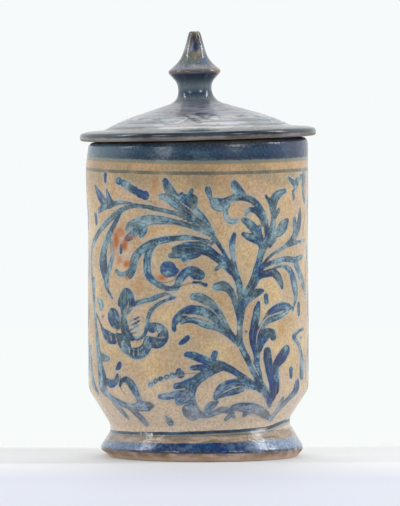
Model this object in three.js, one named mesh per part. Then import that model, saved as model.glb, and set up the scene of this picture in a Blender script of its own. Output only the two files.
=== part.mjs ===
// A lidded maiolica jar: two pieces of thrown clay, a footed cylindrical jar and the lid that rests on
// its rim. Millimetres, +Z up. The origin is on the axis of the mouth, at the level the foot stands on.
import * as THREE from 'three';

// Jar, outside: heights from the level it stands on, and the radii at them
const standingRadius = 52.4;
const footHeight = 4.7;
const footRadius = 57.4;
const waistHeight = 18;
const waistRadius = 49.1;
const shoulderHeight = 37.8;
const shoulderRadius = 61.6;
const bellyRadius = 61.9;
const drawnInRadius = 61.3;
const swellBelowRim = 17;
const swellRadius = 62.6;
const rimRadius = 61.2;
const jarHeight = 177.3;

// Jar, clay
const wallThickness = 5.6;
const floorThickness = 7;
const standingRingWidth = 6.5;
const baseHollowDepth = 3;

// Jar, how far each corner of the outline is rounded along its edges
const footRounding = 2.9;
const waistRounding = 4.5;
const shoulderRounding = 3;
const wallRounding = 16;
const rimRounding = 4;
const lipRounding = 1.5;
const floorRounding = 8;

// Lid, radii
const brimOverhang = 4.9;
const brimLedge = 13.7;
const domeBendRadius = 41.5;
const neckRadius = 9.4;
const collarRadius = 14.6;
const knobRadius = 7.8;
const spikeRadius = 5.2;
const tipRadius = 3;

// Lid, each rise from the one before it, starting at the underside of the brim
const brimThickness = 4.5;
const brimCrown = 1.1;
const ledgeRise = 0.7;
const domeRise = 5.4;
const domeTopRise = 9.8;
const neckRise = 9.7;
const collarRise = 5.8;
const collarThickness = 1.4;
const knobRise = 5.8;
const spikeRise = 8.1;
const tipRise = 8;

// Lid, clay and the fit in the mouth
const flangeClearance = 2.5;
const flangeThickness = 5;
const flangeDepth = 10;
const domeThickness = 5;
const brimEdgeLift = 0.5;
const seatGap = 0.3;

// Lid, how far each corner of the outline is rounded along its edges
const brimRounding = 1.8;
const domeRounding = 8;
const stemRounding = 6.5;
const neckRounding = 3;
const collarRounding = 0.7;
const knobRounding = 4.5;
const tipRounding = 1.4;
const flangeRounding = 2.2;

// Out of true, as thrown by hand: how far a ring is set sideways along X, and how much it climbs per
// millimetre of X
const standingSet = 3;
const footSet = 2.2;
const waistSet = 1.2;
const shoulderSet = 0.3;
const swellSet = -0.6;
const neckSet = -1.1;
const tipSet = -0.4;
const waistClimb = 0.037;
const mouthClimb = 0.0267;

// Fineness of the surfaces
const sectorCount = 64;
const degreesPerStep = 18;

// What follows from the sizes above
const swellHeight = jarHeight - swellBelowRim;
const bellyHeight = THREE.MathUtils.lerp(shoulderHeight, swellHeight, 0.37);
const drawnInHeight = THREE.MathUtils.lerp(shoulderHeight, swellHeight, 0.7);
const floorHeight = baseHollowDepth + floorThickness;
const mouthRadius = rimRadius - wallThickness;
const flangeRadius = mouthRadius - flangeClearance;
const brimRadius = rimRadius + brimOverhang;
const domeRadius = brimRadius - brimLedge;
const ledgeHeight = brimThickness + brimCrown + ledgeRise;
const domeBendHeight = ledgeHeight + domeRise;
const stemHeight = domeBendHeight + domeTopRise;
const neckHeight = stemHeight + neckRise;
const collarHeight = neckHeight + collarRise;
const knobHeight = collarHeight + collarThickness + knobRise;
const spikeHeight = knobHeight + spikeRise;
const lidHeight = spikeHeight + tipRise;

const jarStations = [
  { height: 0, set: standingSet, climb: 0 },
  { height: footHeight, set: footSet, climb: 0 },
  { height: waistHeight, set: waistSet, climb: waistClimb },
  { height: shoulderHeight, set: shoulderSet, climb: 0 },
  { height: drawnInHeight, set: 0, climb: 0 },
  { height: swellHeight, set: swellSet, climb: 0 },
  { height: jarHeight, set: 0, climb: mouthClimb },
];

const lidStations = [
  { height: domeBendHeight, set: 0, climb: 0 },
  { height: neckHeight, set: neckSet, climb: 0 },
  { height: lidHeight, set: tipSet, climb: 0 },
];

// Set and climb at a height, eased between the stations below and above it and held beyond the ends
function outOfTrueAt(stations, height) {
  const above = stations.findIndex((station) => station.height > height);
  if (above === 0) return stations[0];
  if (above < 0) return stations[stations.length - 1];
  const [low, high] = [stations[above - 1], stations[above]];
  const ease = THREE.MathUtils.smoothstep(height, low.height, high.height);
  return {
    set: THREE.MathUtils.lerp(low.set, high.set, ease),
    climb: THREE.MathUtils.lerp(low.climb, high.climb, ease),
  };
}

// A corner of an outline, in radius and height, and how far along its edges it is rounded
function corner(radius, height, rounding = 0) {
  return { at: new THREE.Vector2(radius, height), rounding };
}

// Where the rounding of a corner meets the edge towards a neighbour. Two roundings that are too long
// for the edge between them share it.
function edgePoint(here, neighbour) {
  const edge = neighbour.at.clone().sub(here.at);
  const share = Math.min(1, edge.length() / (here.rounding + neighbour.rounding));
  return here.at.clone().add(edge.setLength(here.rounding * share));
}

// Points along one rounded corner, more of them the further it turns
function bendPoints(before, here, after) {
  const bend = new THREE.QuadraticBezierCurve(edgePoint(here, before), here.at, edgePoint(here, after));
  const turn = Math.abs(bend.getTangent(1).angle() - bend.getTangent(0).angle());
  const degrees = THREE.MathUtils.radToDeg(Math.min(turn, 2 * Math.PI - turn));
  return bend.getPoints(Math.max(2, Math.ceil(degrees / degreesPerStep)));
}

// The points of an outline given by its corners, which starts and ends on the axis
function outlinePoints(corners) {
  return corners.flatMap((here, i) =>
    here.rounding > 0 ? bendPoints(corners[i - 1], here, corners[i + 1]) : [here.at]);
}

// A solid turned from the corners of its outline, stood upright and then set out of true
function turned(corners, stations) {
  const solid = new THREE.LatheGeometry(outlinePoints(corners), sectorCount);
  solid.rotateX(Math.PI / 2);
  const position = solid.attributes.position;
  for (let i = 0; i < position.count; i += 1) {
    const [x, height] = [position.getX(i), position.getZ(i)];
    const { set, climb } = outOfTrueAt(stations, height);
    position.setX(i, x + set);
    position.setZ(i, height + x * climb);
  }
  solid.computeVertexNormals();
  return solid;
}

// The base is hollowed inside its standing ring, and a bare bevel leads up to the moulded foot
function baseCorners() {
  const ringInside = standingRadius - standingRingWidth;
  return [
    corner(0, baseHollowDepth),
    corner(ringInside - baseHollowDepth, baseHollowDepth),
    corner(ringInside, 0),
    corner(standingRadius, 0),
    corner(footRadius, footHeight, footRounding),
  ];
}

// From the waist a cone widens to the shoulder, and the wall above it swells, draws in and swells
function wallCorners() {
  return [
    corner(waistRadius, waistHeight, waistRounding),
    corner(shoulderRadius, shoulderHeight, shoulderRounding),
    corner(bellyRadius, bellyHeight, wallRounding),
    corner(drawnInRadius, drawnInHeight, wallRounding),
    corner(swellRadius, swellHeight, wallRounding),
    corner(rimRadius, jarHeight, rimRounding),
  ];
}

// The inside keeps one thickness of wall from the mouth down to the cone, and ends in a round floor
function insideCorners() {
  return [
    corner(mouthRadius, jarHeight, lipRounding),
    corner(swellRadius - wallThickness, swellHeight, wallRounding),
    corner(shoulderRadius - wallThickness, shoulderHeight, shoulderRounding),
    corner(waistRadius - wallThickness, floorHeight, floorRounding),
    corner(0, floorHeight),
  ];
}

// Under the lid, a hollow follows the dome and a flange hangs down that keeps the lid on the mouth
function undersideCorners() {
  const hollowRadius = flangeRadius - flangeThickness;
  return [
    corner(0, stemHeight - domeThickness),
    corner(neckRadius, stemHeight - domeThickness, stemRounding),
    corner(domeBendRadius, domeBendHeight - domeThickness, domeRounding),
    corner(hollowRadius, 0, flangeRounding),
    corner(hollowRadius, -flangeDepth, flangeRounding),
    corner(flangeRadius, -flangeDepth, flangeRounding),
    corner(flangeRadius, 0),
  ];
}

// The brim is flat where it rests on the rim, and its edge is lifted a little and rounded over
function brimCorners() {
  return [
    corner(rimRadius, 0),
    corner(brimRadius, brimEdgeLift, brimRounding),
    corner(brimRadius, brimThickness, brimRounding),
    corner(rimRadius, brimThickness + brimCrown),
    corner(domeRadius, ledgeHeight),
  ];
}

// The dome bends once on its way in, and sweeps up at the top into the stem
function domeCorners() {
  return [
    corner(domeBendRadius, domeBendHeight, domeRounding),
    corner(neckRadius, stemHeight, stemRounding),
    corner(neckRadius, neckHeight, neckRounding),
  ];
}

// The stem flares into a thin collar, and the knob draws in from it to a blunt spike
function knobCorners() {
  return [
    corner(collarRadius, collarHeight, collarRounding),
    corner(collarRadius, collarHeight + collarThickness, collarRounding),
    corner(knobRadius, knobHeight, knobRounding),
    corner(spikeRadius, spikeHeight, tipRounding),
    corner(tipRadius, lidHeight, tipRounding),
    corner(0, lidHeight),
  ];
}

// The jar wears a buff tin glaze under blue painting
function makeJar() {
  const corners = [...baseCorners(), ...wallCorners(), ...insideCorners()];
  const glaze = new THREE.MeshStandardMaterial({ color: 0xa8946f, roughness: 0.38, metalness: 0 });
  const jar = new THREE.Mesh(turned(corners, jarStations), glaze);
  jar.name = 'jar';
  return jar;
}

// The lid wears a greyer blue wash, and sits on the mouth at the slope of the rim
function makeLid() {
  const corners = [...undersideCorners(), ...brimCorners(), ...domeCorners(), ...knobCorners()];
  const glaze = new THREE.MeshStandardMaterial({ color: 0x6f7a84, roughness: 0.3, metalness: 0 });
  const lid = new THREE.Mesh(turned(corners, lidStations), glaze);
  lid.name = 'lid';
  lid.position.z = jarHeight + seatGap;
  lid.rotation.y = -Math.atan(mouthClimb);
  return lid;
}

const liddedJar = new THREE.Group();
liddedJar.add(makeJar(), makeLid());

export default liddedJar;
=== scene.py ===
"""A lidded maiolica jar, dressed over its packed model. The jar and its lid are turned surfaces of
glazed clay, the blue foliage is brushed on to the wall as a field of distances to its strokes, and
a plain pale studio stands round them."""
import math
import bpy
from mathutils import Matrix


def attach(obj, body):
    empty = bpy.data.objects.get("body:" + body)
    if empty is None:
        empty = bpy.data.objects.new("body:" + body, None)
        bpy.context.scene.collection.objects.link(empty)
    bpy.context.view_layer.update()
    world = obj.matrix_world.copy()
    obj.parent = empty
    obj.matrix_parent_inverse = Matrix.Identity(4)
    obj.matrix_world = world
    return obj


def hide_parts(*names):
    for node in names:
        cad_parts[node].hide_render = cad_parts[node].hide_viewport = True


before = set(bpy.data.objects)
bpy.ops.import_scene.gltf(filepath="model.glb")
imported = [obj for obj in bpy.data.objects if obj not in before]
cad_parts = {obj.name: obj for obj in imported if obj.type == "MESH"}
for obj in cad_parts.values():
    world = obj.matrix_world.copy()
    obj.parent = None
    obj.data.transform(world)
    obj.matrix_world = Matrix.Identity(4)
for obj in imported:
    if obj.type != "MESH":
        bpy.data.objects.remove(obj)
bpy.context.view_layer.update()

from types import SimpleNamespace

import bpy
import numpy as np
from bpy.props import FloatProperty, FloatVectorProperty, PointerProperty
from mathutils import Vector

bl_info = {
    "name": "Lidded maiolica jar",
    "version": (1, 0, 0),
    "blender": (4, 5, 0),
    "location": "View3D > Sidebar > Jar",
    "description": "Makes a lidded jar with blue foliage, its glazes and its studio",
    "category": "Object",
}

# Metres in a millimetre. The making below is in millimetres, and a mesh is scaled at its making.
MM = 0.001

# Keeps a division by a length from failing where the length is nothing
TINY = 1e-9

# Out of true, as thrown by hand: how far a ring is set to the right, and how much it climbs to the
# right for each millimetre along. The lid sits at the climb of the mouth.
STANDING_SET, FOOT_SET, WAIST_SET, SHOULDER_SET, SWELL_SET = 3.0, 2.2, 1.2, 0.3, -0.6
NECK_SET, TIP_SET = -1.1, -0.4
WAIST_CLIMB, MOUTH_CLIMB = 0.037, 0.0267

# How far up the wall, from the shoulder to the swell under the rim, it bellies out and draws in
BELLY_SHARE, DRAWN_IN_SHARE = 0.37, 0.7

# How far the outline is rounded along its edges, at the corners that stand out
FOOT_ROUNDING, WAIST_ROUNDING, SHOULDER_ROUNDING, WALL_ROUNDING = 2.9, 4.5, 3, 16
RIM_ROUNDING, LIP_ROUNDING, FLOOR_ROUNDING, BASE_ROUNDING = 4, 1.5, 8, 0.6
BRIM_ROUNDING, DOME_ROUNDING, STEM_ROUNDING, NECK_ROUNDING = 1.8, 8, 6.5, 3
COLLAR_ROUNDING, KNOB_ROUNDING, TIP_ROUNDING = 0.7, 4.5, 1.4
FLANGE_ROUNDING, SEAT_ROUNDING, LEDGE_ROUNDING = 2.2, 0.4, 0.6

# Fineness of the surfaces: columns round each piece, the turn in degrees that earns an outline one
# more point, the points that a bend is first laid out in, and how close two of them count as one
JAR_COLUMNS, LID_COLUMNS = 408, 384
TURN_STEP, BEND_POINTS, SAME_POINT = 11.0, 24, 1e-6

# Share of the bake map that a row of the jar gets on its inside and underside, against 1 for a row
# that is seen, and the height over which it is seen
HIDDEN_SHARE, SEEN_ABOVE = 0.35, 3.5

# The thin line under the rim: its height at front and back, and how much higher it is at the sides
LINE_HEIGHT, LINE_SIDE_RISE = 159.5, 1.4

# Levels over that line which the inside of the jar is given: at the lip, how fast they fall for
# each millimetre down, and the one they end at, which is plain ground. The height that the inside
# is given throughout is one of the plain wall.
LIP_LEVEL, LIP_FALL, INSIDE_LEVEL, INSIDE_HEIGHT = 14, 6, -20, 60.0

# Height that the lid's underside is given, which is bare clay, and how many rows of it next to the
# widest one keep their own
UNDERSIDE_HEIGHT, BRIM_ROWS = -5.0, 6

# A glaze's index of refraction, and the height of its bumps in metres
GLAZE_IOR, BUMP_DEPTH = 1.5, 0.4 * MM

# The studio, in metres: half the side of the table, how far off the lamps stand and where they
# point, and the width of the camera's sensor in millimetres
TABLE_HALF, LAMP_REACH, LAMP_AIM = 1.6, 1.6, (0, 0, 0.12)
SENSOR = 36

# The light that falls evenly on everything, and the room that reflections see, which brightens from
# front to back: where that starts and ends, from -1 in front to 1 at the back, and how bright.
EVEN_LIGHT, ROOM_TURN, ROOM_LIGHT = 0.5, (-0.4, 0.3), (0.15, 1.0)

# Lamps: azimuth to the right of the camera and elevation in degrees, watts, width and height
LAMPS = {
    "left_lamp": (-82, 32, 6.2, 0.24, 1.0),
    "right_lamp": (90, 32, 8.6, 0.24, 1.0),
    "left_front_lamp": (-36, 15, 2.3, 0.4, 0.2),
    "right_front_lamp": (40, 17, 2.8, 0.4, 0.2),
    "back_lamp": (180, 60, 6, 1.0, 1.0),
}


def length(label, description, millimetres):
    """A size, given in millimetres and kept in metres."""
    return FloatProperty(name=label, description=description, default=millimetres * MM, min=0.0,
                         unit="LENGTH", precision=4)


def linear(red, green, blue):
    """A colour written as 0 to 255 on a screen, in the scene's linear light."""
    share = np.array([red, green, blue]) / 255
    low, high = share / 12.92, ((share + 0.055) / 1.055) ** 2.4
    return tuple(float(x) for x in np.where(share <= 0.04045, low, high))


def colour(label, description, red, green, blue):
    """A colour as it shows on a screen, kept in linear light."""
    return FloatVectorProperty(name=label, description=description, subtype="COLOR", size=3,
                               default=linear(red, green, blue), min=0.0, max=1.0)


class JarSizes(bpy.types.PropertyGroup):
    """Sizes of the jar, outside and in."""
    standing_radius: length("Standing radius", "Outside of the ring the jar stands on", 52.4)
    standing_ring: length("Standing ring", "Width of the ring it stands on", 6.5)
    base_hollow: length("Base hollow", "Depth of the hollow inside the standing ring", 3.0)
    foot_height: length("Foot height", "Top of the bare bevel", 4.7)
    foot_radius: length("Foot radius", "Widest of the foot, before it is rounded", 57.4)
    waist_height: length("Waist height", "Height of the narrow waist over the foot", 18.0)
    waist_radius: length("Waist radius", "Radius of the waist", 49.1)
    shoulder_height: length("Shoulder height", "Where the cone meets the upright wall", 37.8)
    shoulder_radius: length("Shoulder radius", "Radius where the cone meets the wall", 61.6)
    belly_radius: length("Belly radius", "Swell of the wall above the shoulder", 61.9)
    drawn_in_radius: length("Drawn-in radius", "Where the wall draws in", 61.3)
    swell_radius: length("Swell radius", "Swell of the wall under the rim", 62.6)
    swell_below_rim: length("Swell below rim", "How far under the rim the upper swell is", 17.0)
    rim_radius: length("Rim radius", "Outside of the rim", 61.2)
    jar_height: length("Jar height", "Height of the jar without its lid", 177.3)
    wall: length("Wall", "Thickness of the wall", 5.6)
    floor: length("Floor", "Thickness of the floor", 7.0)


class LidSizes(bpy.types.PropertyGroup):
    """Sizes of the lid, from the underside of its brim."""
    brim_overhang: length("Brim overhang", "How far the brim passes the rim", 4.9)
    brim_ledge: length("Brim ledge", "Width of the flat brim outside the dome", 13.7)
    brim_thickness: length("Brim thickness", "Thickness of the brim at its edge", 4.5)
    brim_lift: length("Brim lift", "How far the brim's edge lifts off the rim's level", 0.5)
    ledge_height: length("Ledge height", "Where the dome starts", 6.3)
    ledge_rise: length("Ledge rise", "How far the ledge rises from the rim to the dome", 0.7)
    dome_bend_radius: length("Dome bend radius", "Where the dome bends inwards", 41.5)
    dome_bend_height: length("Dome bend height", "Height of that bend", 11.7)
    neck_radius: length("Neck radius", "Radius of the stem under the knob", 9.4)
    stem_height: length("Stem height", "Where the dome would meet the stem", 21.5)
    neck_height: length("Neck height", "Top of the stem", 31.2)
    collar_radius: length("Collar radius", "Sharp edge of the knob", 14.6)
    collar_height: length("Collar height", "Underside of that edge", 37.0)
    collar_thickness: length("Collar thickness", "Thickness of that edge", 1.4)
    knob_radius: length("Knob radius", "Radius of the knob over its edge", 7.8)
    knob_height: length("Knob height", "Height of that radius", 44.2)
    spike_radius: length("Spike radius", "Radius of the spike", 5.2)
    spike_height: length("Spike height", "Height of that radius", 52.3)
    tip_radius: length("Tip radius", "Blunt end of the spike", 3.0)
    lid_height: length("Lid height", "Top of the spike", 60.3)
    flange_clearance: length("Flange clearance", "Play of the flange in the mouth", 2.5)
    flange_thickness: length("Flange thickness", "Thickness of the flange", 5.0)
    flange_depth: length("Flange depth", "How far the flange hangs in the mouth", 10.0)
    dome_thickness: length("Dome thickness", "Thickness of the dome", 5.0)
    seat_gap: length("Seat gap", "Gap between the rim and the brim", 0.3)


class GlazeColours(bpy.types.PropertyGroup):
    """Colours of the glazes, the paint and the bare clay."""
    buff: colour("Buff", "Ground of the wall", 192, 166, 130)
    straw: colour("Straw", "Pale yellowish patches of the ground", 214, 186, 140)
    tan: colour("Tan", "Warm patches of the ground", 190, 146, 96)
    rose: colour("Rose", "Pinkish patches of the ground", 200, 174, 158)
    # Also painted light: the ground is paled to it low on the cone, which faces the pale table. It
    # also pales the bare clay's lower edge.
    shell: colour("Shell", "Pale ground low on the cone", 214, 194, 172)
    wash: colour("Wash", "Thin blue paint inside a stroke", 106, 138, 148)
    slate: colour("Slate", "The same, in the lowest leaves", 112, 132, 158)
    blue: colour("Blue", "Common blue of the strokes", 44, 88, 114)
    cobalt: colour("Cobalt", "Thick blue paint", 16, 52, 120)
    ink: colour("Ink", "Dark edge where paint ran together", 18, 40, 58)
    indigo: colour("Indigo", "Dark band under the rim", 38, 52, 70)
    steel: colour("Steel", "Middle of that band", 46, 70, 92)
    mist: colour("Mist", "Pale blue-grey bleed round a stroke", 162, 172, 172)
    fringe: colour("Fringe", "Grey-green edge of washed-out paint", 122, 124, 104)
    # Besides grit and specks, it darkens the top of the rim's band as a painted shadow under the
    # lid's brim
    soot_and_shadow: colour("Soot", "Grit and specks in the glaze", 84, 70, 56)
    clay: colour("Clay", "Bare fired clay", 166, 136, 110)
    rust: colour("Rust", "Iron stain", 178, 86, 4)
    lilac: colour("Lilac", "Pale glaze on the lid's dome", 140, 141, 153)
    pewter: colour("Pewter", "Grey-blue glaze on the stem and the knob", 96, 108, 114)
    deep: colour("Deep blue", "Thick glaze in the lid's grooves", 38, 56, 86)
    night: colour("Night", "Dark glaze round the brim", 60, 72, 82)
    umber: colour("Umber", "Brown of the knob's edge", 108, 88, 80)
    ochre: colour("Ochre", "Yellow-brown patch on the knob", 158, 132, 92)
    violet: colour("Violet", "Blue drop on the knob", 88, 106, 148)
    ash: colour("Ash", "Bare clay under the lid's brim", 132, 124, 118)
    # A painted sheen: the pale blue laid on the two sides of the foot and on the dome's flanks, as
    # the reflection of the white room there
    sheen_blue: colour("Haze", "Milky blue at the two sides of the foot", 148, 170, 196)


class StageSizes(bpy.types.PropertyGroup):
    """The camera and the table."""
    eye_distance: length("Eye distance", "From the camera to the jar's axis", 3248.0)
    eye_height: length("Eye height", "Height of the camera over the table", 218.4)
    aim_side: length("Aim side", "Middle of the picture, right of the axis", 1.1)
    aim_height: length("Aim height", "Middle of the picture, over the table", 113.7)
    picture_height: length("Picture height", "Height that the picture shows at the axis", 283.4)
    table_near: length("Near table", "How far before the axis the near shade is", 180.0)
    table_middle: length("Middle table", "How far before the axis the middle shade is", 60.0)
    table_end: length("Table end", "Far edge of the table behind the axis", 94.0)
    table_edge: length("Table edge", "How soft the far edge is, to each side", 4.0)


class StageColours(bpy.types.PropertyGroup):
    """Colours of the table and of what is behind it."""
    near: colour("Near table", "The table in front of the jar", 228, 232, 243)
    middle: colour("Middle table", "The table just before the jar", 248, 251, 255)
    far: colour("Far table", "The table at its far edge", 252, 254, 255)
    beyond: colour("Beyond", "What shows past the table's far edge", 247, 251, 250)
    backdrop: colour("Backdrop", "What shows behind the jar", 246, 250, 251)


GROUPS = {"jar_sizes": JarSizes, "lid_sizes": LidSizes, "glaze_colours": GlazeColours,
          "stage_sizes": StageSizes, "stage_colours": StageColours}


def in_millimetres(group):
    """The sizes of a property group, in millimetres."""
    names = type(group).__annotations__
    return SimpleNamespace(**{name: getattr(group, name) / MM for name in names})


# Turned surfaces

def outline(corners):
    """An outline given by its corners, each a radius, a height, how far it is rounded along its two
    edges, and the spacing of points from it to the next. A rounded corner is the quadratic curve
    whose handle is the corner and whose ends lie on the edges; two roundings too long for the edge
    between them share it. Points are spread by effort, which is the length over the spacing plus
    the turn over the turn step, so that they crowd where the outline bends."""
    at, rounding, spacing = corners[:, :2], corners[:, 2], corners[:, 3]
    edge = np.diff(at, axis=0)
    size = np.linalg.norm(edge, axis=1)
    share = np.minimum(1, size / np.maximum(rounding[1:] + rounding[:-1], TINY))
    step = edge / size[:, None] * share[:, None]
    start, end = at.copy(), at.copy()
    start[1:] -= step * rounding[1:, None]
    end[:-1] += step * rounding[:-1, None]
    t = np.linspace(0, 1, BEND_POINTS)[None, :, None]
    bends = (1 - t) ** 2 * start[:, None] + 2 * t * (1 - t) * at[:, None] + t ** 2 * end[:, None]
    points = bends.reshape(-1, 2)
    fresh = np.r_[True, np.linalg.norm(np.diff(points, axis=0), axis=1) > SAME_POINT]
    points, gap = points[fresh], np.repeat(spacing, BEND_POINTS)[fresh]
    run = np.diff(points, axis=0)
    heading = np.unwrap(np.arctan2(run[:, 1], run[:, 0]))
    turn = np.r_[0, np.abs(np.diff(heading))] / math.radians(TURN_STEP)
    effort = np.r_[0, np.cumsum(np.linalg.norm(run, axis=1) / gap[:-1] + turn)]
    wanted = np.linspace(0, effort[-1], int(effort[-1]) + 2)
    return np.stack([np.interp(wanted, effort, points[:, k]) for k in (0, 1)], axis=1)


def out_of_true(stations, height):
    """Set and climb at each height, eased by a smooth step between the stations below and above."""
    table = np.array(stations, float)
    low = np.clip(np.searchsorted(table[:, 0], height, side="right") - 1, 0, len(table) - 2)
    share = np.clip((height - table[low, 0]) / (table[low + 1, 0] - table[low, 0]), 0, 1)
    ease = (share * share * (3 - 2 * share))[:, None]
    mixed = table[low, 1:] * (1 - ease) + table[low + 1, 1:] * ease
    return mixed[:, 0], mixed[:, 1]


def turned(profile, around, stations):
    """Points of a profile carried round the axis: right is radius times the sine of the angle,
    plus the set, front is radius times its cosine, and height is the profile's plus right times
    climb."""
    radius, height = profile[:, 0], profile[:, 1]
    shift, climb = out_of_true(stations, height)
    right = radius[:, None] * np.sin(around)
    front = radius[:, None] * np.cos(around)
    up = height[:, None] + right * climb[:, None]
    return np.stack([right + shift[:, None], -front, up], axis=2)


def turned_piece(corners, stations, columns):
    """A turned piece: its profile, the angle of each column from the front, and its points."""
    profile = outline(corners)
    around = np.linspace(-math.pi, math.pi, columns, endpoint=False)
    return profile, around, turned(profile, around, stations)


def one_pole(grid):
    """A grid's values as a list of points, its first and last row brought to one point each."""
    flat = grid.reshape(grid.shape[0], grid.shape[1], -1)
    return np.concatenate([flat[0, :1], flat[1:-1].reshape(-1, flat.shape[2]), flat[-1, :1]])


def grid_faces(rows, columns):
    """Faces of a closed turned grid: a fan at each pole and four-sided faces between. Gives the
    row and the column of each corner, one past the last at the seam, and how many corners a face
    has."""
    column = np.arange(columns)
    fan_columns = np.stack([column, column + 1, column], axis=1).ravel()
    first_fan = np.tile([0, 1, 1], columns)
    last_fan = np.tile([rows - 2, rows - 2, rows - 1], columns)
    row = np.repeat(np.arange(1, rows - 2), columns)
    left = np.tile(column, rows - 3)
    quad_rows = np.stack([row, row, row + 1, row + 1], axis=1).ravel()
    quad_columns = np.stack([left, left + 1, left + 1, left], axis=1).ravel()
    corner_rows = np.concatenate([first_fan, quad_rows, last_fan])
    corner_columns = np.concatenate([fan_columns, quad_columns, fan_columns])
    sides = np.concatenate([np.full(columns, 3), np.full(len(row), 4), np.full(columns, 3)])
    return corner_rows, corner_columns, sides


def map_heights(profile, weight):
    """Share of the map's height for each row: the outline's length so far, weighed row by row."""
    run = np.linalg.norm(np.diff(profile, axis=0), axis=1) * (weight[1:] + weight[:-1]) / 2
    return np.r_[0, np.cumsum(run)] / run.sum()


def put_mesh(name, grid, height_on_map):
    """A closed turned grid of points in millimetres, put into a mesh in metres, smooth and with a
    map: across is the share of a turn, half a column on at a pole, and up is the row's own
    share."""
    rows, columns = grid.shape[:2]
    corner_rows, corner_columns, sides = grid_faces(rows, columns)
    first, last = corner_rows == 0, corner_rows == rows - 1
    index = 1 + (corner_rows - 1) * columns + corner_columns % columns
    index = np.where(first, 0, np.where(last, 1 + (rows - 2) * columns, index))
    points = one_pole(grid) * MM
    mesh = bpy.data.meshes.new(name)
    mesh.vertices.add(len(points))
    mesh.vertices.foreach_set("co", points.astype(np.float32).ravel())
    mesh.loops.add(len(index))
    mesh.loops.foreach_set("vertex_index", index.astype(np.int32))
    mesh.polygons.add(len(sides))
    mesh.polygons.foreach_set("loop_start", np.r_[0, np.cumsum(sides)[:-1]].astype(np.int32))
    mesh.polygons.foreach_set("use_smooth", np.ones(len(sides), bool))
    across = corner_columns / columns + np.where(first | last, 0.5 / columns, 0)
    mapped = np.stack([across, height_on_map[corner_rows]], axis=1)
    layer = mesh.uv_layers.new(name="OFBake")
    mesh.update(calc_edges=True)
    layer.data.foreach_set("uv", mapped.astype(np.float32).ravel())
    if mesh.validate():
        raise RuntimeError(f"the mesh of {name} had faults")
    made = bpy.data.objects.new(name, mesh)
    bpy.context.scene.collection.objects.link(made)
    return made


def set_values(piece, name, *grids):
    """Up to three numbers for each point of a turned piece, under a name. Each is given for every
    point, or for every row or column alone."""
    whole = np.broadcast_arrays(*grids, *[np.zeros((1, 1))] * (3 - len(grids)))
    layer = piece.data.attributes.new(name, "FLOAT_VECTOR", "POINT")
    layer.data.foreach_set("vector", one_pole(np.stack(whole, axis=2)).astype(np.float32).ravel())


# Profiles

def jar_corners(jar):
    """Corners of the jar's outline, bottom to rim and down inside to the floor: radius, height,
    rounding, and the spacing of points from there on."""
    ring_inside = jar.standing_radius - jar.standing_ring
    rise = jar.jar_height - jar.swell_below_rim - jar.shoulder_height
    swell_height = jar.shoulder_height + rise
    inside_floor = jar.base_hollow + jar.floor
    return np.array([
        (0, jar.base_hollow, 0, 9),
        (ring_inside - jar.base_hollow, jar.base_hollow, BASE_ROUNDING, 2),
        (ring_inside, 0, BASE_ROUNDING, 2.5),
        (jar.standing_radius, 0, BASE_ROUNDING, 1.4),
        (jar.foot_radius, jar.foot_height, FOOT_ROUNDING, 1.3),
        (jar.waist_radius, jar.waist_height, WAIST_ROUNDING, 1.15),
        (jar.shoulder_radius, jar.shoulder_height, SHOULDER_ROUNDING, 1.1),
        (jar.belly_radius, jar.shoulder_height + BELLY_SHARE * rise, WALL_ROUNDING, 1.1),
        (jar.drawn_in_radius, jar.shoulder_height + DRAWN_IN_SHARE * rise, WALL_ROUNDING, 1.1),
        (jar.swell_radius, swell_height, WALL_ROUNDING, 1.6),
        (jar.rim_radius, jar.jar_height, RIM_ROUNDING, 1.6),
        (jar.rim_radius - jar.wall, jar.jar_height, LIP_ROUNDING, 8),
        (jar.swell_radius - jar.wall, swell_height, WALL_ROUNDING, 12),
        (jar.shoulder_radius - jar.wall, jar.shoulder_height, SHOULDER_ROUNDING, 9),
        (jar.waist_radius - jar.wall, inside_floor, FLOOR_ROUNDING, 8),
        (0, inside_floor, 0, 8),
    ])


def jar_stations(jar):
    """How far the jar is out of true: height, sideways set, and climb to the right."""
    rise = jar.jar_height - jar.swell_below_rim - jar.shoulder_height
    return [(0, STANDING_SET, 0), (jar.foot_height, FOOT_SET, 0),
            (jar.waist_height, WAIST_SET, WAIST_CLIMB), (jar.shoulder_height, SHOULDER_SET, 0),
            (jar.shoulder_height + DRAWN_IN_SHARE * rise, 0, 0),
            (jar.shoulder_height + rise, SWELL_SET, 0), (jar.jar_height, 0, MOUTH_CLIMB)]


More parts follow.
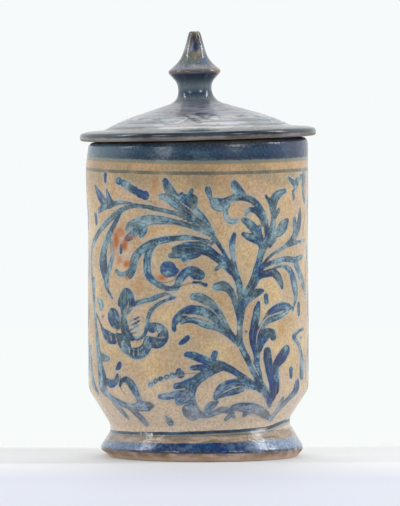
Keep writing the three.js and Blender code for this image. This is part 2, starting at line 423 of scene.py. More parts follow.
def lid_corners(jar, lid):
    """Corners of the lid's outline, from under the dome round the flange and the brim to the tip:
    radius, height, rounding, and the spacing of points from there on."""
    flange = jar.rim_radius - jar.wall - lid.flange_clearance
    hollow = flange - lid.flange_thickness
    brim = jar.rim_radius + lid.brim_overhang
    collar_top = lid.collar_height + lid.collar_thickness
    return np.array([
        (0, lid.stem_height - lid.dome_thickness, 0, 5),
        (lid.neck_radius, lid.stem_height - lid.dome_thickness, STEM_ROUNDING, 6),
        (lid.dome_bend_radius, lid.dome_bend_height - lid.dome_thickness, DOME_ROUNDING, 4),
        (hollow, 0, FLANGE_ROUNDING, 3),
        (hollow, -lid.flange_depth, FLANGE_ROUNDING, 3),
        (flange, -lid.flange_depth, FLANGE_ROUNDING, 3),
        (flange, 0, SEAT_ROUNDING, 3),
        (jar.rim_radius, 0, SEAT_ROUNDING, 1.2),
        (brim, lid.brim_lift, BRIM_ROUNDING, 0.8),
        (brim, lid.brim_thickness, BRIM_ROUNDING, 0.9),
        (jar.rim_radius, lid.ledge_height - lid.ledge_rise, LEDGE_ROUNDING, 0.9),
        (brim - lid.brim_ledge, lid.ledge_height, LEDGE_ROUNDING, 0.8),
        (lid.dome_bend_radius, lid.dome_bend_height, DOME_ROUNDING, 0.8),
        (lid.neck_radius, lid.stem_height, STEM_ROUNDING, 0.8),
        (lid.neck_radius, lid.neck_height, NECK_ROUNDING, 0.7),
        (lid.collar_radius, lid.collar_height, COLLAR_ROUNDING, 0.5),
        (lid.collar_radius, collar_top, COLLAR_ROUNDING, 0.6),
        (lid.knob_radius, lid.knob_height, KNOB_ROUNDING, 0.6),
        (lid.spike_radius, lid.spike_height, TIP_ROUNDING, 0.6),
        (lid.tip_radius, lid.lid_height, TIP_ROUNDING, 0.8),
        (0, lid.lid_height, 0, 0.8),
    ])


def lid_stations(lid):
    """How far the lid is out of true: height, sideways set, and no climb of its own."""
    return [(lid.dome_bend_height, 0, 0), (lid.neck_height, NECK_SET, 0),
            (lid.lid_height, TIP_SET, 0)]


# Brushwork. A stroke is its tone, from 0 for a thin wash to 1 for thick cobalt, and its points on
# the front of the jar as the eye sees it: right of the axis, height over the table, and width, in
# millimetres on the upright plane through the axis.

# How much wider a stroke is at its two ends, where the brush was set down and lifted
BLUNT = 0.3

STEMS = [
    # The stem that climbs from the foot to the upper right
    (0.45, (43.6, 27.5, 1.6), (42, 30.6, 3.4), (39.5, 33.6, 3.8), (37.5, 36.1, 4),
     (35, 40.1, 4.2), (33, 44.1, 4), (30.5, 48.6, 3.8), (28, 53.6, 3.6), (25.5, 58.1, 3.4),
     (23.6, 63.1, 3.4), (23.3, 68.6, 3), (23.4, 73.6, 3.2), (23.8, 78.6, 4), (24.5, 83.6, 4.6),
     (26.2, 88.6, 4.6), (29, 93.6, 4.6), (31.5, 98.1, 4.8), (33, 104.3, 3.8),
     (34.5, 109.3, 3.4), (35.7, 113.8, 3.6), (37.5, 117.8, 4.2), (40, 121.8, 3.8),
     (41.5, 126.3, 3.4), (42.3, 130.8, 3), (42.5, 134.8, 3), (42, 138.8, 2.4), (40.5, 141.8, 2),
     (38.5, 145.3, 1.6)),
    (0.35, (32.5, 61.6, 3.4), (32.8, 55.6, 3), (33, 50.6, 2.8), (34.3, 45.6, 2.8),
     (35, 41.1, 3), (36.5, 38.1, 2.8)),
    # The sweep that leaves it to the left
    (0.6, (24, 84, 3.4), (23.8, 90, 3.4), (22.8, 96.8, 3.8), (21, 101.3, 4.2), (18, 104.8, 5),
     (14.5, 108.3, 5), (10.5, 111.3, 5), (5.5, 114.8, 5.6), (0.5, 116.5, 6.6), (-4, 117, 6),
     (-9, 116.6, 4.6), (-13.5, 115.8, 2.4)),
    (0.5, (-1, 113.6, 5), (-6.1, 112.6, 6), (-11.1, 112.8, 4.4), (-15.6, 112.3, 2.6)),
    (0.45, (10, 104.5, 2), (12, 106, 1.8), (16, 105.7, 2.2)),
    # Its two arcs over the left
    (0.45, (8, 119.3, 1.6), (1.1, 121.5, 2), (-6.1, 122.3, 2.8), (-13.6, 121.8, 3),
     (-19.6, 121, 3.6), (-25.1, 119.3, 4.4), (-29.1, 117.3, 4.4), (-33.1, 114.3, 4.4),
     (-35.6, 110.8, 4.4), (-36.6, 106.8, 4.4), (-38.1, 103.8, 3.6), (-41.1, 101.8, 2.8),
     (-44.6, 102.3, 2.4), (-46.1, 103.8, 1.4)),
    (0.5, (-36.6, 105.3, 3.6), (-38, 101.8, 3), (-38.4, 100.3, 1.8)),
    (0.6, (-24.1, 119.3, 2.6), (-27.1, 115.3, 3.6), (-28.6, 110.8, 4), (-28.8, 105.8, 4),
     (-28.1, 101.3, 4), (-24.6, 97.8, 3.8), (-20.1, 94.8, 3.2), (-15.6, 93.8, 2.6),
     (-12.1, 94.8, 3.6), (-10.6, 98.3, 4.2), (-8.1, 101.8, 4.8), (-4.6, 103.8, 5),
     (-1.2, 102.3, 6.6), (1, 101.3, 5.4)),
    # The long arcs of the upper left
    (0.3, (8.5, 125.8, 1.4), (1.1, 130.3, 3.2), (-4.6, 132.8, 2.8), (-11.1, 135.3, 2.4),
     (-17.1, 137, 2.4), (-23.6, 138.5, 2.4), (-30.1, 139.8, 2.4), (-35.1, 140, 2.2),
     (-40.1, 139, 2.4), (-44.1, 136.8, 3), (-48.6, 133.3, 2.8), (-53.1, 128.8, 2.6),
     (-57.1, 123.3, 2.2), (-59.4, 117.8, 1.4), (-59.9, 105, 1.1), (-59.2, 95, 1.1),
     (-58.2, 84, 1.2)),
    (0.45, (-49.6, 140.3, 3.6), (-45.1, 141.8, 2.6), (-38.1, 141.6, 1.6), (-33.1, 140.6, 1.2)),
    (0.5, (-2.5, 144, 5), (-3, 138, 6.2), (0.5, 134.3, 6), (5, 128.8, 4.5), (8.5, 122.8, 3),
     (12, 117.8, 2.2), (16, 111.8, 1.7), (19, 106.3, 1.4), (21.5, 102, 1.2)),
    # The left edge, from the flower down to the foot
    (0.3, (-58.6, 98.6, 1.2), (-58.4, 88.6, 1.2), (-57.9, 78.6, 1.2), (-57.1, 70.6, 1.5),
     (-56.6, 63.6, 2), (-56.1, 56.1, 2.4), (-55.4, 51.1, 3), (-54.6, 44.6, 3.8),
     (-53.9, 38.6, 4), (-51.6, 33.6, 3.8), (-47.6, 30.1, 3.6), (-42.6, 27.6, 3.6),
     (-38.1, 27.1, 4), (-35.1, 27.6, 6), (-31.6, 27.6, 5.4), (-29.1, 28.3, 3), (-27.4, 27.9, 1)),
    (0.25, (-60.6, 60, 1.6), (-60.4, 52, 2), (-59.6, 43.1, 2), (-57.6, 36.1, 1.4)),
    # Right edge
    (0.3, (54.2, 65.6, 1.8), (56.5, 61.6, 1.7), (57.5, 57.6, 1.8), (58.3, 53.6, 2),
     (58.3, 49.6, 3), (58, 45.6, 2.2)),
    (0.3, (54, 67.8, 1.8), (56.5, 70.2, 1.6), (59, 71.1, 1.2)),
]

LEAVES = [
    # Upper left
    (0.4, (-17.8, 154, 3), (-15.6, 149.3, 5.2), (-12.1, 144.8, 4.4), (-7.6, 140.3, 3)),
    (0.45, (-20.8, 145.5, 2.4), (-16.6, 144.3, 4.6), (-13.1, 141.8, 5), (-8.6, 138.3, 3.8),
     (-4, 134.8, 2.4)),
    (0.6, (-2.9, 149, 1.8), (-4.1, 146.3, 3), (-4.4, 143.3, 4.6), (-3.6, 140, 4.4)),
    (0.7, (-8.6, 146.5, 2.6), (-6.4, 143.8, 3.8), (-3.6, 140.3, 4)),
    (0.5, (-56.9, 151.5, 0.8), (-55.4, 147.8, 2.6), (-53.6, 144.3, 4), (-51.6, 141.3, 3.6)),
    (0.45, (-50.4, 148.8, 1), (-49.6, 145.8, 2.2), (-48.6, 142.3, 2.8)),
    (0.4, (-55.4, 137.3, 2), (-53.1, 139.1, 3.2), (-49.6, 140.5, 3.2)),
    (0.6, (-43.6, 135.8, 1.4), (-46.1, 131.3, 2.2), (-48.6, 126.8, 2.6), (-50.6, 122.3, 3),
     (-52.4, 117.8, 3), (-53.4, 112.8, 3.6), (-53.6, 108.3, 4.4), (-53.1, 104.8, 4.2),
     (-52.1, 101.3, 3.6), (-51.6, 97.8, 2.6), (-51.1, 93.8, 1.6), (-49.6, 91.1, 1.2),
     (-48.2, 88.5, 0.9)),
    (0.15, (-48.8, 120.3, 1.4), (-48.3, 114.3, 2), (-49.1, 108.8, 2.2), (-50.6, 102.8, 2.4),
     (-51.6, 98.8, 2)),
    (0.3, (8, 122.8, 1.4), (1.1, 126.8, 2.5), (-6.1, 129.3, 2.8), (-12.1, 131, 3),
     (-18.1, 131.8, 4), (-23.6, 132.3, 5), (-29.1, 131.8, 6), (-33.6, 130.3, 6),
     (-37.6, 129.3, 4.6), (-39.8, 127.5, 2.6)),
    (0.75, (-33.6, 128.3, 5), (-36.1, 124.8, 4.4), (-39.6, 122, 3.2), (-40.6, 121.3, 2)),
    (0.6, (-30.6, 127.8, 4.2), (-31.6, 124.3, 3.2), (-32.4, 123.3, 2)),
    # Upper right
    (0.3, (8.4, 142.8, 3), (10.4, 141.3, 6.4), (13, 140.6, 7.2), (15.8, 141.4, 5.4)),
    (0.45, (14.5, 142, 4), (18, 143.8, 3.4), (21.5, 144.6, 3.6), (25.5, 144.8, 3.8),
     (29.5, 143.8, 3.8), (33, 141.3, 3.4), (35.5, 137.8, 3.4), (37.5, 133.8, 3.2),
     (38.3, 129.8, 2.8), (38.6, 125.8, 2.4), (38.8, 121.3, 2)),
    (0.2, (20.5, 152.8, 3), (22, 149.8, 5.4), (25, 146.3, 4.5)),
    (0.1, (16.2, 140.3, 2.6), (15.6, 137, 2.6), (16, 134, 2.8), (17.8, 131.8, 2.8),
     (20.2, 131.2, 2.4), (22, 131.9, 1.6)),
    (0.35, (27.3, 135.3, 1.4), (28, 137.3, 2.2), (30.5, 138, 2.8), (33.5, 136.6, 3.2),
     (35.5, 133.6, 2.6), (37, 129.8, 2)),
    (0.6, (25.5, 132.3, 2.2), (28.5, 130.3, 4.4), (31.5, 127.3, 4.8), (34.5, 123.3, 4),
     (36.2, 118.8, 3.4)),
    (0.55, (25.5, 124.3, 2.2), (28.5, 122.8, 4), (31.5, 121.3, 4), (35, 119.3, 3.4),
     (36.5, 116.3, 3)),
    (0.5, (34.6, 128.6, 1.4), (35, 124.3, 2.2)),
    (0.4, (42.4, 135.3, 2.6), (42.4, 141.8, 4.6), (43.7, 145, 4.8), (46, 147.1, 4), (49, 148.6, 2)),
    (0.6, (45.5, 137.8, 1.6), (43.5, 134.3, 2)),
    (0.35, (50.3, 131.8, 2), (48.5, 129.3, 5.2), (46, 126.3, 5.2), (43, 123.3, 2.8),
     (41, 121.3, 2)),
    (0.5, (43.2, 121, 1.8), (40.5, 117.8, 2)),
    (0.5, (35.5, 105.8, 1.4), (39, 110.3, 1.5), (42.5, 113.3, 1.6), (46, 115.3, 1.7),
     (49.5, 117.8, 2.4), (52, 119.8, 3.2), (55, 124.3, 3), (56.5, 128.8, 2.7), (57.3, 133.8, 2),
     (57.3, 137.8, 0.9)),
    (0.45, (53.5, 121.3, 2.2), (54.6, 125.8, 2.2), (54.4, 129.8, 2.2), (54.3, 132.3, 1.4)),
    (0.3, (51.5, 118.3, 2), (55.5, 119.6, 1.8), (60, 120.8, 1.4)),
    (0.5, (31, 99, 2.6), (34, 103.3, 2.4), (37.5, 106.3, 2.2), (41.5, 108.3, 2.4),
     (45.5, 109.6, 2.8), (50, 110.3, 3.2), (54.5, 109.9, 3.4), (58.5, 111.6, 2)),
    (0.5, (43, 105.6, 1.4), (46.3, 106.6, 2), (50, 105.6, 2.6), (52.5, 102.3, 3),
     (53.7, 98.3, 3.4), (54.5, 93.6, 3), (54.8, 89.6, 2), (54, 85.6, 1.2), (53, 82.1, 1)),
    (0.35, (55.3, 107.3, 2.6), (57.3, 101.3, 2.6), (58.8, 96.8, 2.2), (59.8, 91.8, 1.2)),
    (0.65, (31, 97.6, 2.6), (35, 100.9, 3.4), (39, 102.3, 4.2), (42.5, 102.6, 4.8),
     (45, 100.2, 4), (46.6, 96.8, 2.6), (47.2, 94.1, 1)),
    (0.4, (25.5, 84.1, 3), (28.5, 88.3, 4), (31.5, 90.6, 4.6), (34.5, 92.1, 3.4),
     (36.5, 92.6, 1.6)),
    (0.25, (50.5, 156.3, 1.2), (53, 153.8, 2.2), (54.8, 152.1, 3.2)),
    (0.25, (58, 156.8, 1.6), (56, 154.3, 2.4), (54.8, 151.8, 3)),
    (0.3, (59.5, 156.8, 2.2), (59, 150.8, 1.8), (59.3, 145.8, 1.5), (59.8, 142.8, 1.1)),
    (0.35, (20.5, 124.3, 1.8), (19.5, 120.8, 3), (19.3, 116.8, 3.4), (19.8, 111.8, 2.6),
     (20.7, 106.8, 2.2), (22, 101.8, 2.2)),
    (0.6, (10.3, 94.8, 4.2), (14, 95.3, 5.2), (17.3, 93.3, 4.4), (19.5, 89.6, 3.4),
     (21, 84.6, 3), (22.3, 79.6, 2.6), (23, 74.6, 2)),
    # Middle
    (0.95, (33.8, 85.8, 1.6), (33, 82.1, 3.6), (32.3, 77.6, 4.2), (31.3, 72.6, 4.4),
     (30.5, 67.6, 4.2), (31, 62.6, 4), (32.3, 57.6, 3.4), (32.8, 53.6, 3)),
    (0.75, (32.5, 63.6, 1.4), (33.5, 68.1, 1.6), (35, 72.6, 2), (38, 76.6, 3), (41, 79.9, 5),
     (44.5, 82.1, 6), (48, 83.3, 5.4), (51, 83.5, 3.4), (52.5, 83.1, 1.4)),
    (0.25, (35.3, 71, 1.2), (39, 75.3, 2.6), (43, 77.9, 4.2), (47, 79.6, 4), (50, 81, 2)),
    (0.55, (34, 59.6, 3), (34.9, 63.4, 4.6), (36.6, 66.6, 5.6), (39, 69, 5.4),
     (41.2, 68.8, 4.4), (42, 66.9, 3.4)),
    (0.9, (38.6, 58.2, 4), (38.9, 54.6, 4.8), (39.5, 50.6, 4.4), (40.2, 46.6, 4.2),
     (41.3, 42.1, 4), (42.3, 37.1, 4), (42.8, 32.6, 3.4), (43, 29, 1.8)),
    (1.0, (49.4, 59.2, 4.4), (47.3, 56.1, 5.6), (45, 53.1, 5), (43, 50.3, 3.4), (42, 47, 2.6)),
    (0.75, (44.3, 48.6, 1.6), (44.2, 44.6, 2.4), (44, 40.1, 3), (43.7, 36.1, 3.2)),
    (0.2, (20.6, 26.4, 3.4), (24, 27, 4.8), (28, 26.9, 5.4), (32, 26.6, 5.6), (36.5, 25.4, 5.2),
     (40.5, 23.8, 4.6), (44, 22.2, 3.6), (47.4, 20.6, 2.2)),
    (0.7, (55.5, 40.6, 2.2), (55, 37.1, 3.2), (53.5, 33.1, 3)),
    (0.1, (54, 34.6, 2.8), (51.8, 29.6, 3.4), (49.8, 25.6, 3.2), (48.2, 20.9, 2.6)),
    (0.2, (49.2, 31.6, 1.6), (49.2, 28.1, 2.4), (49.4, 25.6, 2.6)),
    (0.7, (23.6, 62, 3), (19, 66.6, 4), (15.5, 70.8, 4.3), (12, 74.8, 4.8), (8.5, 77.8, 5),
     (4.5, 80, 5.4), (0, 81.6, 5.4), (-2.6, 82.1, 5.2), (-6.6, 81, 5.2), (-10.1, 78.4, 5),
     (-12.4, 76.1, 4.2), (-13.6, 73.4, 2.6), (-13.6, 70.8, 2.4)),
    (0.3, (-2.9, 89.2, 3.2), (0, 89, 4.8), (4.5, 87.1, 5.2), (8, 84.1, 4.8), (11, 80.6, 4),
     (14.5, 75.6, 2.6), (17, 71, 2)),
    (0.35, (-9.6, 74.6, 1.6), (-5.6, 76, 3), (-0.5, 75.4, 3.4), (3.5, 73.8, 4.2), (8, 72.6, 4),
     (12, 71.1, 3.4), (16, 68.1, 2.6)),
    # Lower branch
    (0.6, (-6.6, 56.8, 2.8), (-3.1, 56.1, 4.4), (-0.5, 55.1, 4.6), (3.5, 53.6, 4.4),
     (7.5, 52.1, 4.4), (11.5, 51.1, 4.6), (15.5, 49.6, 4.4), (19.5, 47.6, 3.8),
     (23.5, 45.1, 3.4), (27.5, 42.3, 3.4), (31.5, 39.5, 3.4), (35, 36.9, 3)),
    (0.9, (9.3, 57.3, 3), (8.3, 54.6, 3.2), (7.8, 52.1, 3.4)),
    (0.55, (-3.6, 49.3, 2.4), (1, 49.6, 3.6), (5, 48.9, 3), (8.5, 48.3, 3)),
    (0.65, (12.5, 49.3, 3.6), (5.5, 46.4, 4.6), (0.5, 43.6, 5.4), (-3.5, 39.6, 6), (-5, 35.6, 6)),
    (0.3, (-5, 35.6, 6), (-4.5, 30.6, 5.4), (-3.2, 26.6, 5)),
    (0.6, (1.1, 44.2, 4.4), (-3.6, 41.1, 5.4), (-8.6, 39.4, 4.8), (-12.6, 38.9, 3.2)),
    (0.4, (-4.6, 38.1, 5), (-9.6, 35.3, 4.4), (-14.1, 34.1, 4.2), (-18.6, 33.1, 4),
     (-22.1, 32.9, 2.2)),
    (0.25, (-5.1, 36, 6), (-8.6, 32.1, 5.6), (-11.8, 30.1, 4.2)),
    (0.2, (-6, 24.3, 9), (-4.4, 24, 9.6)),
    (0.25, (-3, 22.8, 5), (-0.5, 22.9, 4.6), (3, 22.1, 3.2), (6.5, 22.6, 3.4),
     (10.5, 24.1, 3.6), (14, 25.4, 3.8), (17.5, 25, 3.6), (20.5, 23.1, 3.2), (22.5, 21.1, 1.6)),
    (0.25, (20.3, 22.8, 2.4), (18, 20.6, 2.4), (17, 19.6, 1.6)),
    (0.2, (4.5, 23.1, 2.6), (5.5, 25.8, 4.2), (8, 28.1, 4.4), (10.6, 29.8, 2)),
    (0.4, (31.5, 38.6, 3.4), (27.5, 39.6, 4.2), (23.5, 40.4, 4.8), (19.5, 40.2, 5.4),
     (15.5, 38.9, 6), (12.5, 36.6, 5.6), (10.6, 33.9, 4), (9.8, 32.6, 2.6)),
    (0.5, (24.5, 37.8, 3.4), (20.5, 36, 3.8), (16.5, 35.3, 3.6), (13, 33.7, 2.6)),
    (0.65, (28.6, 22.4, 2), (30.6, 23.8, 2.8), (33.5, 25, 3)),
    # Flower
    (0.35, (-40.7, 91.6, 3), (-40.3, 89.4, 7.2), (-40.4, 86.6, 8.6), (-40.7, 83.4, 6.6),
     (-41.3, 80.6, 3)),
    (0.85, (-44.5, 84.6, 1), (-44.2, 87.4, 1.4), (-43, 89.8, 1.4), (-41, 91.9, 1)),
    (0.7, (-37, 89.6, 1), (-36.4, 86.8, 1.4), (-37.6, 84, 1.2)),
    (0.7, (-48.5, 81.2, 2.4), (-47.7, 79, 5.4), (-46.7, 76, 6), (-45.3, 73.4, 3.6)),
    (1.0, (-50, 79.6, 1.2), (-49.8, 76.2, 1.5), (-48.3, 73.2, 1.3)),
    (0.2, (-38.6, 70.4, 0.5), (-36.4, 71.4, 1), (-33.8, 73, 0.7)),
    (0.2, (-38.9, 72.8, 0.5), (-36, 74, 1.1), (-33, 75.8, 0.7)),
    (0.2, (-38.6, 75.4, 0.5), (-36, 76.5, 1), (-33.2, 77.9, 0.6)),
    (0.2, (-37.4, 68.4, 0.5), (-35.4, 69.2, 0.9), (-33.4, 70.4, 0.6)),
    (0.5, (-39.5, 83.8, 2.2), (-41.3, 81.4, 3), (-42.3, 79, 3.4), (-41.9, 75.8, 3.6),
     (-41.3, 72.6, 3.8), (-40.3, 69.4, 3.8), (-38.1, 66.8, 3), (-34.9, 65.6, 2),
     (-31.7, 66.6, 1.8), (-29.5, 69.4, 1.8), (-28.7, 73.4, 1.8), (-28.1, 77.4, 2),
     (-26.5, 81.4, 2.2), (-23.7, 84.2, 2.1), (-19.7, 86.6, 1.8), (-15.7, 88.1, 1.4),
     (-12.9, 88.8, 1.1)),
    (0.95, (-43, 76, 1.2), (-42.5, 72.2, 2.4), (-41.5, 69.4, 3), (-39.5, 66.8, 2.6),
     (-37.3, 65.2, 1.6)),
    (0.35, (-41.9, 79.8, 2.2), (-39.5, 82.6, 3), (-36.5, 84.6, 3.1), (-31.7, 86.4, 2.9),
     (-26.1, 87.8, 2.7), (-21.3, 89.8, 2.5), (-17.3, 90.7, 1.5), (-14.6, 89.8, 1)),
    (0.75, (-57.3, 79.8, 0.7), (-54.9, 74.2, 0.9), (-53.7, 71, 1.6), (-51.9, 68, 4.4),
     (-49.3, 66, 6.4), (-46.9, 65.4, 5.2)),
    (0.65, (-45.6, 67.4, 2.6), (-43.5, 65, 5.8), (-41.5, 62.6, 6.8), (-40.1, 59.8, 4.8)),
    (0.5, (-39.5, 59.2, 4), (-36.5, 57.6, 6), (-33.3, 57.6, 6.6), (-30.3, 59.4, 6),
     (-28.7, 62.6, 4.8), (-28.9, 65.4, 3)),
    (0.85, (-28.9, 71.4, 2.8), (-27.3, 72.5, 3.4), (-24.5, 72.6, 4.2), (-21.6, 71.5, 5),
     (-20, 69.2, 5.6), (-19.9, 66.4, 6), (-21.5, 64, 6), (-24.3, 62.8, 5.2), (-26.9, 63.4, 4)),
    (0.7, (-27.4, 66.6, 1), (-25.8, 65.8, 1.6), (-24.4, 66, 1.4)),
    # Lower left
    (0.2, (-56.3, 58.6, 1.6), (-55.3, 56.6, 3), (-53.1, 55.1, 4), (-50.4, 54.1, 2)),
    (0.85, (-55.4, 53, 1.2), (-54.6, 48.6, 3), (-53.8, 44.6, 3.4)),
    (0.9, (-51.8, 42.1, 2.6), (-49.1, 40.4, 4.6), (-46.8, 41.6, 3.4), (-45.6, 45.1, 1.4)),
    (0.5, (-44.2, 39.4, 1.2), (-43.4, 41.8, 2.2), (-41.2, 42.9, 3.4), (-38.8, 41.2, 4.2),
     (-36.8, 38.2, 4.2), (-35.4, 34.6, 3.6), (-34.5, 31, 3)),
    (0.3, (-43.6, 26.6, 2), (-40.6, 23.6, 3.4), (-38.1, 20.4, 4.4), (-36.6, 17.8, 3)),
    (0.15, (-51.1, 29.6, 2), (-49.1, 26.1, 3), (-47.6, 22.6, 2.6), (-46.9, 21.1, 1.6)),
    (0.2, (-56.1, 87.1, 1.8), (-54.4, 85.1, 2.6), (-54.4, 82.6, 1.2)),
    # Drops and dashes
    (0.9, (-51.1, 157.3, 1.8), (-51.1, 153.8, 1.1)), (0.9, (-57.3, 134.8, 1.2), (-57.1, 131, 1.1)),
    (0.9, (-43.1, 117.3, 2.2), (-43.6, 113.9, 1.2)),
    (0.7, (5.9, 149.3, 3.2), (6.6, 147.2, 3), (7.2, 144.8, 2)),
    (0.8, (7.4, 144.3, 1.6), (8.3, 141.6, 2)), (0.8, (53.5, 147.8, 1.2), (53.8, 144.5, 1.1)),
    (0.7, (38, 89.6, 2.2), (38.3, 86.3, 2.2)), (0.8, (56.3, 84.6, 1.4), (56.3, 79.8, 1.1)),
    (0.8, (52, 48.4, 1.8), (52, 44.8, 1.6)),
    (0.8, (-10.4, 62.8, 1.4), (-7.9, 64.6, 3.2), (-6.1, 66.1, 2.6)),
    (0.85, (-44.4, 51.4, 2), (-44.8, 50.1, 3), (-46.2, 48.8, 1.2)),
    (0.7, (-21.6, 21.4, 1), (-20.8, 19.3, 2.4)),
    (0.6, (-2.6, 97.2, 1.2), (1.1, 97, 1.4), (4.3, 95.7, 2)),
    (0.7, (-7.9, 111.4, 3), (-7.9, 110.6, 3.6)), (0.9, (-13.8, 101.6, 2.2), (-12.4, 103.8, 3)),
]

# A spray for the two sides, which the eye in front doesn't see: tone, then how far round from the
# side, height and width
SPRAY = [
    (0.5, (5, 25, 1.6), (3, 32, 2.8), (0, 40, 3.2), (-3, 50, 3.2), (-4, 60, 3), (-2, 70, 3),
     (2, 80, 3.2), (4, 90, 3), (3, 100, 3), (-1, 110, 3), (-4, 120, 2.8), (-3, 130, 2.6),
     (1, 139, 2.4), (4, 146, 2), (3, 151, 1.2)),
    (0.7, (-1.5, 44, 2), (-6, 49, 3.4), (-9, 55, 4.4), (-10, 61, 4), (-8.6, 65.5, 2.6),
     (-6.8, 66.5, 1.2)),
    (0.35, (-3.4, 54, 2), (1, 57, 3), (5.5, 61.5, 4.4), (8.6, 67, 4.2), (9, 72.5, 2.4),
     (7.6, 75, 1)),
    (0.5, (-2, 71, 1.8), (-6, 75, 3), (-9, 81, 4.6), (-9.6, 87.5, 3.6), (-8, 91.5, 1.4)),
    (0.8, (3, 84, 2), (7, 88, 3.6), (9.4, 94, 4.2), (8.6, 99.5, 3), (6.6, 102, 1.2)),
    (0.4, (3.2, 99, 2), (-2.5, 100.5, 2.6), (-7, 104, 4), (-9.6, 110, 4.4), (-9, 115.6, 2.6),
     (-7.2, 117.6, 1.1)),
    (0.6, (-2.4, 113, 2), (2.4, 116, 3.2), (6.4, 121, 4.4), (8.8, 127, 3.6), (8.4, 132, 1.4)),
    (0.45, (-3.4, 127, 1.8), (-6.8, 131, 3.4), (-8.8, 137, 4), (-8, 142.6, 2.6), (-6, 145, 1.2)),
    (0.9, (-8.6, 71.5, 1.6), (-8.8, 69.6, 1)), (0.8, (8.8, 83, 1.6), (9, 80.8, 1)),
    (0.7, (8.6, 108.6, 1.8), (8.8, 106.2, 1)),
    (0.85, (-6, 35.6, 1.6), (-8.6, 38.4, 3), (-9, 41.4, 1.4)),
    (0.3, (2.6, 33, 1.8), (7, 37, 3.6), (9.6, 43, 3.8), (8.8, 48.4, 1.6)),
]

# Dots: tone, place on the same plane, and radius
DOTS = [(0.55, -43.6, 154, 2.2), (0.5, -41, 152.8, 2.1), (0.6, -38.7, 151.4, 2.4),
        (0.65, -36.6, 149.8, 2.3), (0.6, -34.6, 148.6, 2.3), (0.55, -31.9, 146.9, 2.5),
        (0.7, -29.2, 146, 2.6), (0.4, -45.2, 154.6, 1.2), (0.95, -16.9, 104.6, 4.6),
        (0.4, -27.1, 39.8, 1.4), (0.4, -24.3, 41.9, 1.4), (0.4, -21.3, 43.2, 1.4),
        (0.4, -18, 44.2, 1.5), (0.4, -14.6, 45.1, 1.6), (0.5, -10.3, 45.8, 2.4),
        (0.5, -11.1, 47.8, 1.5), (0.8, -20.1, 18.3, 2.2), (0.9, 29.1, 23, 1.6),
        (0.85, 53.6, 66.9, 1.7), (0.3, 57.6, 66.1, 1), (1.0, -25.8, 71.2, 2.4),
        (0.9, 38.3, 156.8, 0.7), (0.5, -53.4, 78.1, 0.8), (0.6, 26.8, 69.6, 0.7)]

# Hairlines of thin paint, as points of place and width
HAIRLINES = [
    ((-28.6, 143.8, 0.8), (-22.6, 140.8, 0.6)),
    ((-11.6, 102.8, 0.8), (-13.1, 99.3, 0.9), (-17.1, 97.3, 0.9), (-22.1, 97.3, 0.7)),
    ((-12, 94.3, 1), (-6.1, 96.3, 0.8), (-2, 97.1, 0.8)), ((-48, 73.6, 0.9), (-45, 74.9, 1)),
    ((-47.6, 71.6, 0.9), (-44.7, 72.9, 1)), ((-47.2, 69.5, 0.9), (-44.3, 70.9, 1)),
    ((-43.9, 85.2, 0.6), (-42.9, 82, 0.8)), ((-42.7, 86, 0.6), (-41.9, 82.6, 0.8)),
    ((-36.6, 64.4, 0.7), (-36.3, 61.4, 0.9)), ((-34.6, 64.3, 0.7), (-34.4, 61.3, 0.9)),
    ((-32.4, 64.6, 0.7), (-32.1, 61.6, 0.9)), ((-37.4, 60.2, 0.7), (-37.8, 57.4, 0.9)),
    ((-35.2, 59.6, 0.7), (-35.2, 56.6, 0.9)), ((-31, 60.6, 0.7), (-29.6, 58.2, 0.9)),
    ((-42.8, 66.4, 0.7), (-43.7, 63.6, 0.9)), ((-40.4, 64.6, 0.7), (-41.7, 61.6, 0.9)),
    ((-50.8, 68.8, 0.8), (-50.2, 65.4, 1)), ((-48.4, 68, 0.8), (-47.6, 64.8, 1)),
    ((-27.6, 66.2, 1.1), (-26, 65, 1.4)), ((-23.6, 67.2, 0.7), (-20, 69.4, 1)),
    ((-23.8, 65, 0.7), (-20.2, 64.6, 1)), ((-24.8, 71.6, 0.7), (-23.8, 74, 0.9)),
    ((-44.1, 43.6, 1.2), (-44.1, 38.6, 1.1), (-42.1, 34.6, 0.8)),
    ((-8.6, 46.1, 1), (-5.1, 46.1, 0.9), (0.9, 46.6, 0.6)),
    ((60, 53.6, 1.3), (60.5, 48.6, 1.3), (61, 44.6, 1)), ((60.4, 105, 1.2), (60.4, 101, 1.2)),
    ((60.3, 138, 1), (59.6, 130.8, 1.1), (59.1, 125.8, 0.8)),
]

